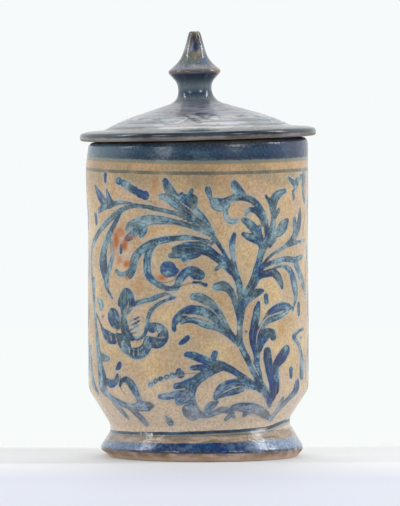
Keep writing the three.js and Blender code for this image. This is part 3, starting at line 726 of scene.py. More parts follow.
# Lines scraped back through wet paint, which leave the glaze bare between two leaves
SCRAPED = [
    ((-9.6, 142.3, 0.8), (-4.1, 138.1, 0.9), (1.1, 133.3, 0.6)),
    ((38, 104.8, 0.8), (43, 106.4, 0.9), (48, 107.5, 0.9), (52.5, 106, 0.7)),
    ((29.5, 54.1, 0.7), (31.5, 49.6, 0.9), (33.5, 45.6, 0.6)),
    ((32.5, 63.6, 0.6), (33, 67.6, 0.7), (35, 72.6, 0.8), (38.5, 77.3, 0.9), (44, 79.9, 0.8),
     (48, 81.3, 0.6)),
    ((-8, 79, 0.6), (-4.5, 78.9, 0.8), (0.5, 78.3, 0.9), (5.5, 76.4, 0.9), (10.5, 73.1, 0.6)),
    ((-17.1, 35.4, 0.6), (-13.1, 36.9, 0.9), (-8.1, 37.4, 0.7)),
    ((23.5, 38.8, 0.7), (19.5, 38, 0.9), (14.5, 35.6, 0.6)),
    ((-40.4, 80.8, 0.5), (-39.6, 83.4, 0.7), (-39, 86.2, 0.5)),
    ((-43.8, 81.4, 0.6), (-43.9, 78.4, 0.8), (-43.6, 75.6, 0.6)),
    ((-46.4, 66.8, 0.4), (-45.6, 63.8, 0.5)),
    ((-39.9, 61.8, 0.4), (-38.9, 60.2, 0.6), (-38.8, 58, 0.4)),
    ((-36.4, 59.4, 0.3), (-36.5, 56.4, 0.5)), ((-33.8, 60, 0.3), (-33.7, 56.8, 0.5)),
    ((-31.4, 60.6, 0.3), (-30.4, 57.6, 0.4)), ((-41.7, 65.6, 0.3), (-42.7, 62.6, 0.5)),
    ((-49.4, 68.6, 0.3), (-48.9, 65.2, 0.5)), ((-29, 68.6, 0.4), (-27.8, 65.8, 0.6)),
    ((-23.2, 68.4, 0.3), (-20.6, 71.4, 0.5)), ((-23.4, 66.2, 0.3), (-19.4, 66.6, 0.5)),
    ((-24.6, 64.6, 0.3), (-22.8, 61.8, 0.4)),
    ((-38.4, 82.4, 0.4), (-33, 84.6, 0.5), (-27, 86.4, 0.4)),
    ((-2, 84.6, 0.6), (4.5, 84, 0.8), (9, 80.6, 0.7), (13, 75.6, 0.6)),
    ((36.2, 60, 0.6), (35.6, 55.6, 0.8), (36, 50, 0.7), (37.6, 44, 0.6)),
]

# Iron stains: place on the same plane, half width, half height, and how strong
STAINS = [(-46.2, 121.4, 2.6, 5.4, 1.1), (-41.4, 118.4, 2.4, 3.2, 1.25), (-44, 125.2, 4.4, 3, 0.75),
          (-37.6, 122.4, 4.4, 1.8, 0.6), (-44.4, 109.6, 2.6, 2.4, 0.75),
          (-40.4, 107.4, 3.4, 2.4, 0.75), (-48, 115, 1.4, 5.6, 0.6), (-39.9, 99.8, 2.2, 1.4, 0.8),
          (-21, 99.8, 4, 1.8, 0.7), (-53.8, 78.2, 1.2, 1.2, 0.7), (-23.6, 152, 3, 7, 0.35),
          (-9.5, 46.1, 3, 1.6, 0.35), (54, 122, 2, 2, 0.4)]

# Marks on the lid's dome, on the same plane: tone, then place and width
DOME_MARKS = [
    (0.8, (-21.3, 189.3, 0.4), (-20.8, 187.6, 0.6), (-18.5, 186.2, 0.8), (-15.7, 185.7, 0.8),
     (-12.4, 185.8, 0.7), (-9, 186.5, 0.7), (-6.2, 187.9, 0.7), (-4.8, 189.3, 0.7),
     (-5.7, 190.2, 0.6), (-7.1, 190.3, 0.5)),
    (0.6, (-15.7, 187.4, 0.5), (-13.5, 187.3, 0.9), (-11.3, 187.6, 0.5)),
    (0.9, (-0.8, 191.9, 0.5), (1.6, 191.7, 0.9), (3.6, 191.5, 0.9), (5.5, 191.9, 0.5)),
    (0.8, (-0.6, 191.4, 0.4), (1.6, 190.4, 0.8), (3.9, 189.5, 0.7), (5.9, 188.7, 0.4)),
    (0.5, (-4.2, 189.2, 0.6), (-2.4, 188.4, 1.2), (-1, 187.3, 0.8)),
    (1.0, (0.5, 186.8, 1), (1.1, 186.8, 1)), (1.0, (10.8, 185.8, 1), (11.4, 185.8, 1)),
    (1.0, (22.6, 190.2, 0.7), (23.6, 190.2, 0.9)), (0.8, (-14.7, 192.5, 0.6), (-14, 192.5, 0.7)),
    (0.5, (5.3, 188.5, 0.5), (6.7, 190.2, 0.8), (8.9, 190.9, 1), (11.1, 190.6, 0.9),
     (13.1, 189, 0.5)),
    (0.7, (3.9, 187.6, 0.4), (7.8, 187.2, 0.6), (12.3, 187.3, 0.6), (16.7, 187.9, 0.4)),
    (0.4, (15.1, 189, 0.4), (20.1, 189.1, 0.4)),
    (0.2, (23.5, 187.9, 0.4), (30.2, 188, 0.4), (38, 188.3, 0.3)),
    (0.4, (-28.1, 187.2, 0.4), (-24.7, 186.8, 0.6), (-21.9, 186.6, 0.6), (-20.2, 187.4, 0.4)),
    (0.2, (-23.5, 188.4, 0.8), (-21.5, 188.1, 1)), (0.3, (-31, 189, 0.6), (-28, 189.4, 0.8)),
]

# Pale curls between them, as points of place and width
DOME_CURLS = [
    ((-12.4, 186.2, 0.5), (-7.9, 187.9, 0.7), (-5.7, 189, 0.9)),
    ((-5.5, 191, 0.5), (-2.3, 190.6, 0.6), (0, 189.2, 0.6), (2.7, 188.1, 0.6), (6.5, 187.6, 0.4)),
    ((15.6, 190.2, 0.8), (18.5, 190, 1.1), (21.2, 189.8, 0.8)),
    ((-29.5, 188.2, 0.6), (-26.5, 188.4, 1)), ((8, 189.1, 0.6), (10.5, 189, 0.7)),
]

# Spots on the front of the knob: right of its axis, height over the brim's underside, half width
# and half height
DRIP, AMBER = (-1.3, 51.8, 1.4, 2.8), (-1.2, 47.3, 1.7, 1.3)
DROP, CAP = (3.9, 44.8, 2.0, 2.0), (11.5, 38.4, 3, 1.2)

# What a field of strokes holds where none is near. Depths and half widths are below nothing there.
REST = {"depth": -9.0, "under": -9.0, "tone": 0.0, "ahead": 0.0, "side": 0.0,
        "hair_side": 9.0, "hair_half": -5.0, "hair_kind": 0.0, "stain": 0.0}

# Spacing of the points of a stroke, on the wall and on the dome, and over what length it is blunt
WALL_STEP, DOME_STEP, BLUNT_LENGTH = 0.9, 0.6, 2

# How near the edge of the wall and of the dome a stroke may lie, as a share of the radius, how much
# wider the wall's turn may make it, how little the dome's slope may, and the thinnest it is laid
WALL_EDGE, DOME_EDGE, WIDEST_SPREAD, LEAST_SLOPE, THINNEST = 0.97, 0.98, 2.6, 0.4, 0.3

# How far round a stroke the field is kept, and how far apart two strokes lie in the noise that
# streaks them. The second go, the spray, the curls and each further time round are numbered from
# these, for streaks of their own.
STROKE_REACH, STREAK_APART = 4, 37
SECOND_GO, SPRAY_FIRST, CURLS_FIRST, NEXT_ROUND = 500, 900, 400, 40

# A hairline: how far it runs on past its ends, where it closes, how far to its side it counts, and
# from where it gives way to a neighbour, over what distance and how deep
HAIR_PAST, HAIR_CLOSED, HAIR_REACH = 2.5, -2.0, 2.6
HAIR_GIVES, HAIR_GIVEN, HAIR_DROP = 0.9, 0.6, 3

# Times the dome's marks are laid round it, tone of its pale curls, and rings searched on it
DOME_TIMES, CURL_TONE, DOME_RINGS = 4, 2.0, 700


def spline(points, step=WALL_STEP):
    """A smooth curve through points, at a spacing. Between two points it is the cubic whose slopes
    there are those of the parabola through each point and its two neighbours."""
    points = np.array(points, float)
    along = np.r_[0, np.cumsum(np.linalg.norm(np.diff(points[:, :2], axis=0), axis=1))]
    slope = np.gradient(points, along, axis=0)
    wanted = np.linspace(0, along[-1], int(along[-1] / step) + 2)
    low = np.clip(np.searchsorted(along, wanted, side="right") - 1, 0, len(along) - 2)
    gap = (along[low + 1] - along[low])[:, None]
    t = (wanted - along[low])[:, None] / gap
    leaving, arriving = gap * slope[low], gap * slope[low + 1]
    return ((2 * t ** 3 - 3 * t ** 2 + 1) * points[low] + (t ** 3 - 2 * t ** 2 + t) * leaving
            + (3 * t ** 2 - 2 * t ** 3) * points[low + 1] + (t ** 3 - t ** 2) * arriving)


def direction(seen):
    """Which way a path runs at each of its points, as a step of length 1."""
    run = np.gradient(seen[:, :2], axis=0)
    return run / np.maximum(np.linalg.norm(run, axis=1, keepdims=True), TINY)


def on_wall(jar, stage, seen):
    """Points of the plane, carried along the line of sight to the wall: how far round from the
    front, in millimetres of arc, height, and the width there. A width seen across the wall's turn
    is divided by the cosine of that turn, one seen along the axis is not."""
    side, up, width = seen[:, 0], seen[:, 1], np.maximum(seen[:, 2], THINNEST)
    radius = jar.belly_radius
    turn = np.arcsin(np.clip(side / radius, -WALL_EDGE, WALL_EDGE))
    near = 1 - radius * np.cos(turn) / stage.eye_distance
    turn = np.arcsin(np.clip(side * near / radius, -WALL_EDGE, WALL_EDGE))
    height = stage.eye_height + (up - stage.eye_height) * near
    run = direction(seen)
    spread = 1 / np.sqrt(run[:, 0] ** 2 + (np.cos(turn) * run[:, 1]) ** 2)
    return np.stack([turn * radius, height, width * np.minimum(spread, WIDEST_SPREAD)], axis=1)


def wrapped(distance, girth):
    """A distance round the jar, taken the shorter way."""
    return (distance + girth / 2) % girth - girth / 2


def nearest_on(path, point):
    """For each point, against the straight pieces of a path: the depth, which is half the width
    less the distance, then how far along the nearest piece it is, how far to the side of the path,
    and the half width there. The depth is the largest over the pieces."""
    start, run = path[:-1, :2], np.diff(path[:, :2], axis=0)
    size = np.maximum((run ** 2).sum(axis=1), TINY)
    share = np.clip(((point[:, None] - start) * run).sum(axis=2) / size, 0, 1)
    away = point[:, None] - start - share[:, :, None] * run
    half = (path[:-1, 2] + share * np.diff(path[:, 2])) / 2
    depth = half - np.linalg.norm(away, axis=2)
    best = depth.argmax(axis=1)
    each = np.arange(len(point))
    piece = np.sqrt(size)
    so_far = np.r_[0, np.cumsum(piece)][best] + share[each, best] * piece[best]
    aside = away[each, best]
    side = (run[best, 0] * aside[:, 1] - run[best, 1] * aside[:, 0]) / piece[best]
    return depth[each, best], so_far, side, half[each, best]


def within_reach(wall, path, girth, margin):
    """Numbers of the wall's points near a path, and those points brought to the path's own side."""
    low, high = path[:, :2].min(axis=0), path[:, :2].max(axis=0)
    reach = path[:, 2].max() / 2 + margin
    middle = (low[0] + high[0]) / 2
    beside = wrapped(wall[:, 0] - middle, girth)
    near = np.nonzero((np.abs(beside) < high[0] - middle + reach) & (wall[:, 1] > low[1] - reach)
                      & (wall[:, 1] < high[1] + reach))[0]
    return near, np.stack([beside[near] + middle, wall[near, 1]], axis=1)


def lay_stroke(field, wall, girth, path, tone, number):
    """Lays one stroke into the field. The deepest stroke at a point is kept with its tone, how far
    along it the point is and how far to its side, and so is the depth of the one under it."""
    near, point = within_reach(wall, path, girth, STROKE_REACH)
    if len(near) == 0:
        return
    depth, so_far, side, _ = nearest_on(path, point)
    was = field["depth"][near]
    field["under"][near] = np.maximum(field["under"][near], np.minimum(was, depth))
    closer = depth > was
    kept = near[closer]
    field["depth"][kept] = depth[closer]
    field["tone"][kept] = tone
    field["ahead"][kept] = so_far[closer] + STREAK_APART * number
    field["side"][kept] = side[closer]


def lay_hairline(field, wall, girth, path, kind):
    """Lays a thin line, as how far to its side each point is, the half width there and the kind,
    which is 1 for paint and -1 for a scrape. The half width closes past the line's ends and drops
    off to its sides, where a neighbour may take over. The nearest line at a point is kept."""
    ends = path[[0, -1], :2] + (path[[0, -1], :2] - path[[1, -2], :2]) * HAIR_PAST / WALL_STEP
    path = np.vstack([np.r_[ends[0], HAIR_CLOSED], path, np.r_[ends[1], HAIR_CLOSED]])
    near, point = within_reach(wall, path, girth, STROKE_REACH)
    if len(near) == 0:
        return
    depth, _, side, half = nearest_on(path, point)
    away = np.abs(side)
    closer = ((away < np.abs(field["hair_side"][near])) & (away < HAIR_REACH)
              & (depth > -HAIR_REACH))
    kept = near[closer]
    given = np.clip((away - HAIR_GIVES) / HAIR_GIVEN, 0, 1)
    field["hair_side"][kept] = side[closer]
    field["hair_half"][kept] = (half - HAIR_DROP * given)[closer]
    field["hair_kind"][kept] = kind


def blank_field(shape):
    """A field before any stroke is laid, for a number of points or for a grid of them."""
    return {name: np.full(shape, rest) for name, rest in REST.items()}


def filled(field, rows, shape):
    """A field over some rows of a grid, filled up to the whole grid with what a blank one holds."""
    whole = blank_field(shape)
    for name, values in field.items():
        whole[name][rows] = values.reshape(len(rows), -1)
    return whole


def laid_again(path, girth, number):
    """A stroke's path half a turn round, where it wanders in slow waves of up to 1.6 mm, less near
    the foot, and is up to a tenth wider or narrower, as a painter's second go is."""
    moved = path.copy()
    moved[:, 0] += girth / 2 + 1.6 * np.sin(path[:, 1] / 17) * np.cos(path[:, 0] / 96)
    moved[:, 1] += 1.4 * np.sin(path[:, 0] / 13 + 1) * np.clip((path[:, 1] - 24) / 20, 0, 1)
    moved[:, 2] *= 1 + 0.1 * np.sin(number * 2.4)
    return moved


def brush_field(jar, stage, wall, girth):
    """The whole painting: strokes, leaves and dots in front and again half a turn round, where they
    also change a little in tone, the spray and its mirror image at each side, and the hairlines."""
    field = blank_field(len(wall))
    dots = [(tone, (side - 0.1, up, 2 * radius - BLUNT), (side + 0.1, up, 2 * radius - BLUNT))
            for tone, side, up, radius in DOTS]
    for number, (tone, *points) in enumerate([*STEMS, *LEAVES, *dots]):
        path = spline(points)
        away = np.minimum(np.arange(len(path)), np.arange(len(path))[::-1])
        path[:, 2] += BLUNT * np.exp(-away * WALL_STEP / BLUNT_LENGTH)
        path = on_wall(jar, stage, path)
        lay_stroke(field, wall, girth, path, tone, number)
        second = float(np.clip(tone + 0.2 * np.sin(number), 0, 1))
        lay_stroke(field, wall, girth, laid_again(path, girth, number), second, number + SECOND_GO)
    for number, (tone, *points) in enumerate(SPRAY):
        for side in (1, -1):
            path = spline(points) * [side, 1, 1] + [side * girth / 4, 1.5 * side, 0]
            lay_stroke(field, wall, girth, path, tone, number + SPRAY_FIRST)
    for kind, lines in ((1.0, HAIRLINES), (-1.0, SCRAPED)):
        for number, points in enumerate(lines):
            path = on_wall(jar, stage, spline(points))
            lay_hairline(field, wall, girth, path, kind)
            lay_hairline(field, wall, girth, laid_again(path, girth, number), kind)
    return field


def stain_field(jar, stage, wall, girth):
    """How rusty each point of the wall is: the largest of the stains' rounded bumps, which are half
    as strong half a turn round."""
    rusty = np.zeros(len(wall))
    for side, up, half_width, half_height, strength in STAINS:
        place = on_wall(jar, stage, np.array([[side, up, 1.0], [side, up + 0.1, 1.0]]))[0]
        for turn, share in ((0, 1), (girth / 2, 0.5)):
            away = ((wrapped(wall[:, 0] - place[0] - turn, girth) / half_width) ** 2
                    + ((wall[:, 1] - place[1]) / half_height) ** 2)
            rusty = np.maximum(rusty, strength * np.exp(-away) * share)
    return rusty


def on_dome(jar, lid, stage, profile, seen):
    """Points of the plane, carried along the line of sight to the top of the lid: how far round
    from the front, on a ring of the dome's bend, how far out from the axis, and the width there.
    Of many rings, each point takes the one that the eye sees nearest to its height."""
    side, up, width = seen[:, :1], seen[:, 1:2], seen[:, 2]
    ring = np.linspace(lid.neck_radius, jar.rim_radius, DOME_RINGS)
    height = np.interp(ring, profile[::-1, 0], profile[::-1, 1]) + jar.jar_height + lid.seat_gap
    front = np.sqrt(np.maximum(ring ** 2 - side ** 2, 0))
    shown = stage.eye_height + ((height + MOUTH_CLIMB * side - stage.eye_height)
                                * stage.eye_distance / (stage.eye_distance - front))
    miss = np.where(ring < np.abs(side) + 0.5, np.inf, np.abs(shown - up))
    found = miss.argmin(axis=1)
    out, steep = ring[found], -np.gradient(height, ring)[found]
    run = direction(seen)
    spread = 1 / np.sqrt((np.maximum(steep, LEAST_SLOPE) * run[:, 0]) ** 2 + run[:, 1] ** 2)
    turn = np.arcsin(np.clip(side[:, 0] / out, -DOME_EDGE, DOME_EDGE))
    return np.stack([turn * lid.dome_bend_radius, out, width * spread], axis=1)


def dome_field(jar, lid, stage, profile, place, girth):
    """The marks on the dome, laid several times round it, each time a little otherwise, and the
    pale curls between them."""
    field = blank_field(len(place))
    for number, (tone, *points) in enumerate(DOME_MARKS):
        path = on_dome(jar, lid, stage, profile, spline(points, DOME_STEP))
        for turn in range(DOME_TIMES):
            moved = path + [girth * turn / DOME_TIMES, 1.5 * math.sin(2.1 * turn * number), 0]
            lay_stroke(field, place, girth, moved, (tone + 0.3 * turn) % 1,
                       number + NEXT_ROUND * turn)
    for number, points in enumerate(DOME_CURLS):
        path = on_dome(jar, lid, stage, profile, spline(points, DOME_STEP))
        for turn in range(DOME_TIMES):
            moved = path + [girth * turn / DOME_TIMES, 0, 0]
            lay_stroke(field, place, girth, moved, CURL_TONE, number + CURLS_FIRST)
    return field


# Materials

class Nodes:
    """A node tree under construction. Each call adds a node and gives its output."""

    def __init__(self, owner):
        owner.use_nodes = True
        self.tree = owner.node_tree
        self.tree.nodes.clear()

    def put(self, socket, value):
        """A link where the value is another node's output, else a constant."""
        if isinstance(value, bpy.types.NodeSocket):
            self.tree.links.new(value, socket)
        elif socket.type == "RGBA":
            socket.default_value = (*value[:3], 1)
        else:
            socket.default_value = value

    def node(self, kind, out, **inputs):
        """A node of a kind with its inputs by name, and which of its outputs is given."""
        made = self.tree.nodes.new("ShaderNode" + kind)
        for name, value in inputs.items():
            self.put(made.inputs[name], value)
        return made.outputs[out]

    def math(self, kind, *values):
        """A Math node: MAXIMUM, ABSOLUTE and the like."""
        made = self.tree.nodes.new("ShaderNodeMath")
        made.operation = kind
        for socket, value in zip(made.inputs, values):
            self.put(socket, value)
        return made.outputs[0]

    def part(self, value, *shares):
        """The value times each share."""
        for share in shares:
            value = self.math("MULTIPLY", value, share)
        return value

    def total(self, value, *others):
        """The value and the others added up."""
        for other in others:
            value = self.math("ADD", value, other)
        return value

    def ease(self, value, low, high, to_low=0.0, to_high=1.0):
        """A smooth step of the value from low to high."""
        made = self.tree.nodes.new("ShaderNodeMapRange")
        made.interpolation_type = "SMOOTHSTEP"
        for name, number in (("Value", value), ("From Min", low), ("From Max", high),
                             ("To Min", to_low), ("To Max", to_high)):
            self.put(made.inputs[name], number)
        return made.outputs["Result"]

    def between(self, value, rise, fall):
        """1 where the value is past one smooth step and not yet past another, else 0."""
        return self.part(self.ease(value, *rise), self.ease(value, *fall))

    def ray(self, *kinds):
        """1 for a ray of one of these kinds, else 0."""
        path = self.tree.nodes.new("ShaderNodeLightPath").outputs
        found = path[kinds[0]]
        for kind in kinds[1:]:
            found = self.math("MAXIMUM", found, path[kind])
        return found

    def mixed(self, share, first, second):
        """The first shader turned into the second by a share."""
        made = self.tree.nodes.new("ShaderNodeMixShader")
        for socket, value in zip(made.inputs, (share, first, second)):
            self.put(socket, value)
        return made.outputs["Shader"]


class Glaze(Nodes):
    """A material under construction, whose values in millimetres come from the piece it is on."""

    def __init__(self, name):
        self.material = bpy.data.materials.new(name)
        super().__init__(self.material)
        self.surface = self.tree.nodes.new("ShaderNodeBsdfPrincipled")
        self.output = self.tree.nodes.new("ShaderNodeOutputMaterial")
        self.put(self.output.inputs["Surface"], self.surface.outputs["BSDF"])

    def scaled(self, vector, share):
        """A vector or a colour times a number."""
        made = self.tree.nodes.new("ShaderNodeVectorMath")
        made.operation = "SCALE"
        self.put(made.inputs["Vector"], vector)
        self.put(made.inputs["Scale"], share)
        return made.outputs["Vector"]

    def place(self):
        """Object coordinates in millimetres."""
        return self.scaled(self.node("TexCoord", "Object"), 1 / MM)

    def values(self, name):
        """The three numbers that a piece carries under a name."""
        made = self.tree.nodes.new("ShaderNodeAttribute")
        made.attribute_name = name
        split = self.tree.nodes.new("ShaderNodeSeparateXYZ")
        self.put(split.inputs[0], made.outputs["Vector"])
        return split.outputs[0], split.outputs[1], split.outputs[2]

    def noise(self, at, scale, detail=2.0, rough=0.5, squeeze=None, twist=0.0):
        """Noise from 0 to 1 about a half, at a scale given in bumps per millimetre."""
        if squeeze:
            at = self.node("Mapping", "Vector", Vector=at, Scale=squeeze)
        return self.node("TexNoise", "Fac", Vector=at, Scale=scale, Detail=detail,
                         Roughness=rough, Distortion=twist)

    def swing(self, noise, height):
        """Noise made as high as this from its lowest to its highest, about nothing."""
        return self.math("MULTIPLY_ADD", noise, height, -height / 2)

    def blend(self, share, first, second):
        """The first colour turned into the second by a share."""
        made = self.tree.nodes.new("ShaderNodeMix")
        made.data_type = "RGBA"
        for number, value in ((0, share), (6, first), (7, second)):
            self.put(made.inputs[number], value)
        return made.outputs[2]

    def shaded(self, shade, value, low, high, darkest, lightest):
        """A colour made darker and lighter by a value between low and high."""
        return self.scaled(shade, self.ease(value, low, high, darkest, lightest))

    def ramp(self, value, stops):
        """Colours at numbers, turned one into the next between them."""
        low, high = stops[0][0], stops[-1][0]
        made = self.tree.nodes.new("ShaderNodeValToRGB")
        share = self.math("DIVIDE", self.math("SUBTRACT", value, low), high - low)
        self.put(made.inputs["Fac"], share)
        points = made.color_ramp.elements
        points.remove(points[1])
        for number, (at, shade) in enumerate(stops):
            share = (at - low) / (high - low)
            point = points.new(share) if number else points[0]
            point.position, point.color = share, (*shade, 1)
        return made.outputs["Color"]

    def spot(self, side, height, place):
        """A rounded spot: 1 in its middle and 0 at its edge, from its place and its half sizes."""
        across = self.math("DIVIDE", self.math("SUBTRACT", side, place[0]), place[2])
        up = self.math("DIVIDE", self.math("SUBTRACT", height, place[1]), place[3])
        return self.ease(self.total(self.part(across, across), self.part(up, up)), 2.4, 0.2)

    def finished(self, skin, roughness, bumps, strength):
        """The material, given its colour, its roughness, its bumps and how strongly these show."""
        normal = self.node("Bump", "Normal", Strength=strength, Distance=BUMP_DEPTH, Height=bumps)
        for name, value in (("Base Color", skin), ("Roughness", roughness), ("IOR", GLAZE_IOR),
                            ("Normal", normal)):
            self.put(self.surface.inputs[name], value)
        return self.material


def jar_ground(g, c, at, height):
    """Buff ground: broad warm and pale patches, grain, and dark specks where grit came through."""
    skin = g.blend(g.ease(g.noise(at, 0.05, 3), 0.38, 0.68), c.buff, c.straw)
    warm = g.ease(g.noise(at, 0.09, 3, twist=0.4), 0.5, 0.72)
    skin = g.blend(g.part(warm, 0.65), skin, c.tan)
    pink = g.ease(g.noise(at, 0.065, 3, twist=0.8), 0.52, 0.7)
    skin = g.blend(g.part(pink, 0.6), skin, c.rose)
    skin = g.blend(g.part(g.ease(height, 120, 168), 0.4), skin, c.tan)
    grey = g.ease(g.noise(at, 0.07, 3), 0.4, 0.6, 0.1, 0.5)
    skin = g.blend(g.part(g.ease(height, 146, 158), grey), skin, c.fringe)
    # Painted bounce light: the ground paled low on the cone, which faces down towards the pale
    # table
    skin = g.blend(g.part(g.ease(height, 56, 22), 0.8), skin, c.shell)
    skin = g.shaded(skin, g.noise(at, 0.7, 4, 0.75), 0.32, 0.68, 0.76, 1.2)
    specks = g.ease(g.noise(at, 0.9, 2, 0.5), 0.7, 0.76)
    return g.blend(g.part(specks, 0.45), skin, c.soot_and_shadow)


def jar_brushed(g, c, at, height, ground):
    """The painting over its ground: strokes with a dark edge where the paint ran together, thinner
    and streaked inside and thick in places, their pale bleed, iron stains and hairlines."""
    depth, under, tone = g.values("paint")
    ahead, side, hair_kind = g.values("brush")
    hair_side, hair_half, stain = g.values("hair")
    loose = g.swing(g.noise(at, 0.35, 2), 0.7)
    edge = g.total(depth, g.total(loose, g.swing(g.noise(at, 1.3, 2), 0.7)))
    lane = g.node("CombineXYZ", "Vector", X=g.part(ahead, 0.09), Y=g.part(side, 0.8),
                  Z=g.part(tone, 3.0))
    thick = g.total(g.math("MULTIPLY_ADD", tone, 2.6, -1.35),
                    g.swing(g.noise(at, 0.11, 2, 0.5, twist=0.4), 7.0),
                    g.swing(g.noise(at, 0.75, 3, 0.65), 4.5),
                    g.swing(g.noise(lane, 1.0, 3, 0.6), -5.0))
    # Towards the foot the wash turns slate, partly as painted light where the cone faces the pale
    # table
    wash = g.blend(g.ease(height, 62, 34), c.wash, c.slate)
    wash = g.blend(g.ease(thick, -0.4, -2.2, 0.0, 0.6), wash, c.mist)
    darkest = g.blend(g.ease(g.noise(at, 0.1, 2), 0.3, 0.5), c.ink, c.cobalt)
    body = g.blend(g.ease(thick, -0.6, 0.6), wash, c.blue)
    body = g.blend(g.ease(thick, 0.5, 1.7, 0.0, 0.95), body, darkest)
    body = g.shaded(body, g.noise(at, 0.14, 4, 0.6), 0.37, 0.61, 0.55, 1.36)
    patchy = g.noise(at, 0.22, 2)
    outlined = g.part(g.ease(edge, 0.85, 0.25), g.ease(patchy, 0.38, 0.62, 0.05, 0.8))
    crossed = g.part(g.ease(g.math("ABSOLUTE", g.total(under, loose)), 0.55, 0.1), 0.45,
                     g.ease(depth, 0.5, 1.2))
    body = g.blend(g.math("MAXIMUM", outlined, crossed), body, c.ink)
    vein = g.part(g.ease(g.math("ABSOLUTE", g.total(side, loose)), 0.5, 0.1),
                  g.ease(depth, 1.5, 2.0), g.ease(patchy, 0.42, 0.6, 0.0, 0.5))
    body = g.blend(vein, body, c.fringe)

    halo = g.part(g.ease(edge, -1.8, -0.1), g.ease(g.noise(at, 0.1, 2), 0.35, 0.65, 0.3, 0.65))
    skin = g.blend(halo, ground, c.mist)
    cover = g.part(g.ease(edge, -0.3, 0.3), g.ease(g.noise(at, 0.8, 3, 0.6), 0.2, 0.5, 0.84, 0.97),
                   g.ease(height, 24, 36, 0.8, 1.0))
    skin = g.blend(cover, skin, body)
    skin = g.blend(g.part(g.ease(stain, 0.05, 0.6), 0.35), skin, g.blend(0.5, c.rust, c.tan))
    spread = g.math("MULTIPLY_ADD", g.noise(at, 0.35, 4, 0.65), 1.4, -0.75)
    rusty = g.ease(g.total(stain, spread), 0.05, 1.0)
    skin = g.blend(g.part(rusty, g.ease(edge, -0.2, 0.4, 0.9, 0.35)), skin, c.rust)
    hair = g.ease(g.math("SUBTRACT", hair_half, g.math("ABSOLUTE", hair_side)), -0.25, 0.25)
    skin = g.blend(g.part(hair, g.math("MAXIMUM", hair_kind, 0.0), 0.6), skin,
                   g.blend(g.ease(edge, -0.2, 0.4, 0.5, 1.0), c.fringe, c.ink))
    scraped = g.part(hair, g.math("MAXIMUM", g.part(hair_kind, -1.0), 0.0), 0.75)
    return g.blend(scraped, skin, g.blend(0.5, ground, c.mist))


def jar_band(g, c, at, level, across, skin):
    """The dark band under the rim with its washed-out fringe, by level over the thin line, and its
    painted shadow, sheen and shade.
    """
    skin = g.blend(g.part(g.ease(level, -0.5, 6), 0.35), skin, c.tan)
    skin = g.blend(g.part(g.ease(level, 4.6, 5.4), 0.8), skin, c.fringe)
    washed = g.ease(g.noise(at, 0.3, 3), 0.35, 0.6, 0.25, 0.7)
    skin = g.blend(g.part(g.ease(level, 5.4, 6.0), washed), skin, g.blend(0.5, c.fringe, c.wash))
    # Darkest at the top as a painted shadow under the lid's brim, and lighter in the middle, partly
    # as a painted sheen
    dark = g.ramp(level, [(6.0, c.night), (8.5, c.indigo), (12.0, c.steel), (15.0, c.indigo),
                          (18.0, c.soot_and_shadow)])
    dark = g.blend(g.ease(g.noise(at, 0.8, 4, 0.7), 0.48, 0.7, 0.0, 0.25), dark, c.wash)
    # Painted shade: the band made bluer and darker towards the right; painted sheen: paler towards
    # the left
    dark = g.blend(g.ease(across, 30, 58, 0.0, 0.4), dark, c.cobalt)
    dark = g.blend(g.ease(across, -30, -58, 0.0, 0.3), dark, c.wash)
    cloudy = g.ease(g.noise(at, 0.12, 3, 0.6, squeeze=(0.6, 0.6, 1.4)), 0.52, 0.66)
    dark = g.blend(g.part(cloudy, 0.2), dark, c.wash)
    dark = g.shaded(dark, g.noise(at, 1.2, 3, 0.6), 0.3, 0.7, 0.95, 1.3)
    # Painted shade: darker again towards the right
    dark = g.shaded(dark, across, 32, 56, 1.0, 0.62)
    return g.blend(g.ease(level, 6.5, 7.4), skin, dark)


def jar_foot(g, c, at, tall, across, skin):
    """The waist line, the grime under it and the blue foot, with a painted sheen at its sides and
    burnt at its lower edge, by height over the table."""
    lifted = g.math("SUBTRACT", tall, g.ease(across, 36, 50, 0, 2.6))
    bleed = g.part(g.between(lifted, (13.6, 14.2), (15.6, 15.0)), 0.6)
    skin = g.blend(bleed, skin, c.wash)
    waist = g.part(g.between(lifted, (14.9, 15.5), (17.3, 16.8)), 0.95)
    inky = g.blend(g.ease(g.noise(at, 0.12, 3), 0.35, 0.65), c.blue, c.ink)
    skin = g.blend(waist, skin, inky)
    grime = g.noise(at, 0.22, 3, 0.6, squeeze=(0.4, 0.4, 2.5))
    grimy = g.part(g.between(tall, (10, 11), (15.5, 14.5)), g.ease(grime, 0.34, 0.66, 0.4, 0.95),
                   0.9)
    sooty = g.blend(g.ease(grime, 0.5, 0.6), c.umber, g.blend(0.5, c.fringe, c.soot_and_shadow))
    skin = g.blend(grimy, skin, sooty)
    foot = g.blend(g.ease(g.noise(at, 0.09, 3, 0.6), 0.4, 0.6), g.blend(0.5, c.cobalt, c.indigo),
                   g.blend(0.5, c.blue, c.cobalt))
    foot = g.blend(g.part(g.ease(g.noise(at, 0.13, 4, 0.7), 0.46, 0.62), 0.5), foot, c.slate)
    # Painted sheen: the foot's blue paled towards both sides, as the reflection of the white room
    # there
    foot_sheen = g.total(g.ease(across, 20, 44, 0.0, 0.85), g.ease(across, -17, -41, 0.0, 0.5))
    foot = g.blend(foot_sheen, foot, c.sheen_blue)
    foot = g.shaded(foot, g.noise(at, 0.6, 3, 0.65), 0.3, 0.7, 0.65, 1.3)
    skin = g.blend(g.ease(tall, 11, 10.2), skin, foot)
    burnt = g.part(g.ease(tall, 7.2, 5.6), g.ease(g.noise(at, 0.5, 4, 0.7), 0.46, 0.56), 0.75)
    charred = g.blend(g.ease(g.noise(at, 0.3, 2), 0.42, 0.56), c.ink, c.umber)
    skin = g.blend(burnt, skin, charred)
    seam = g.part(g.between(tall, (4.2, 4.8), (6.4, 5.4)),
                  g.ease(g.noise(at, 0.16, 3), 0.35, 0.6), 0.8)
    return g.blend(seam, skin, g.blend(0.5, c.soot_and_shadow, c.ink))


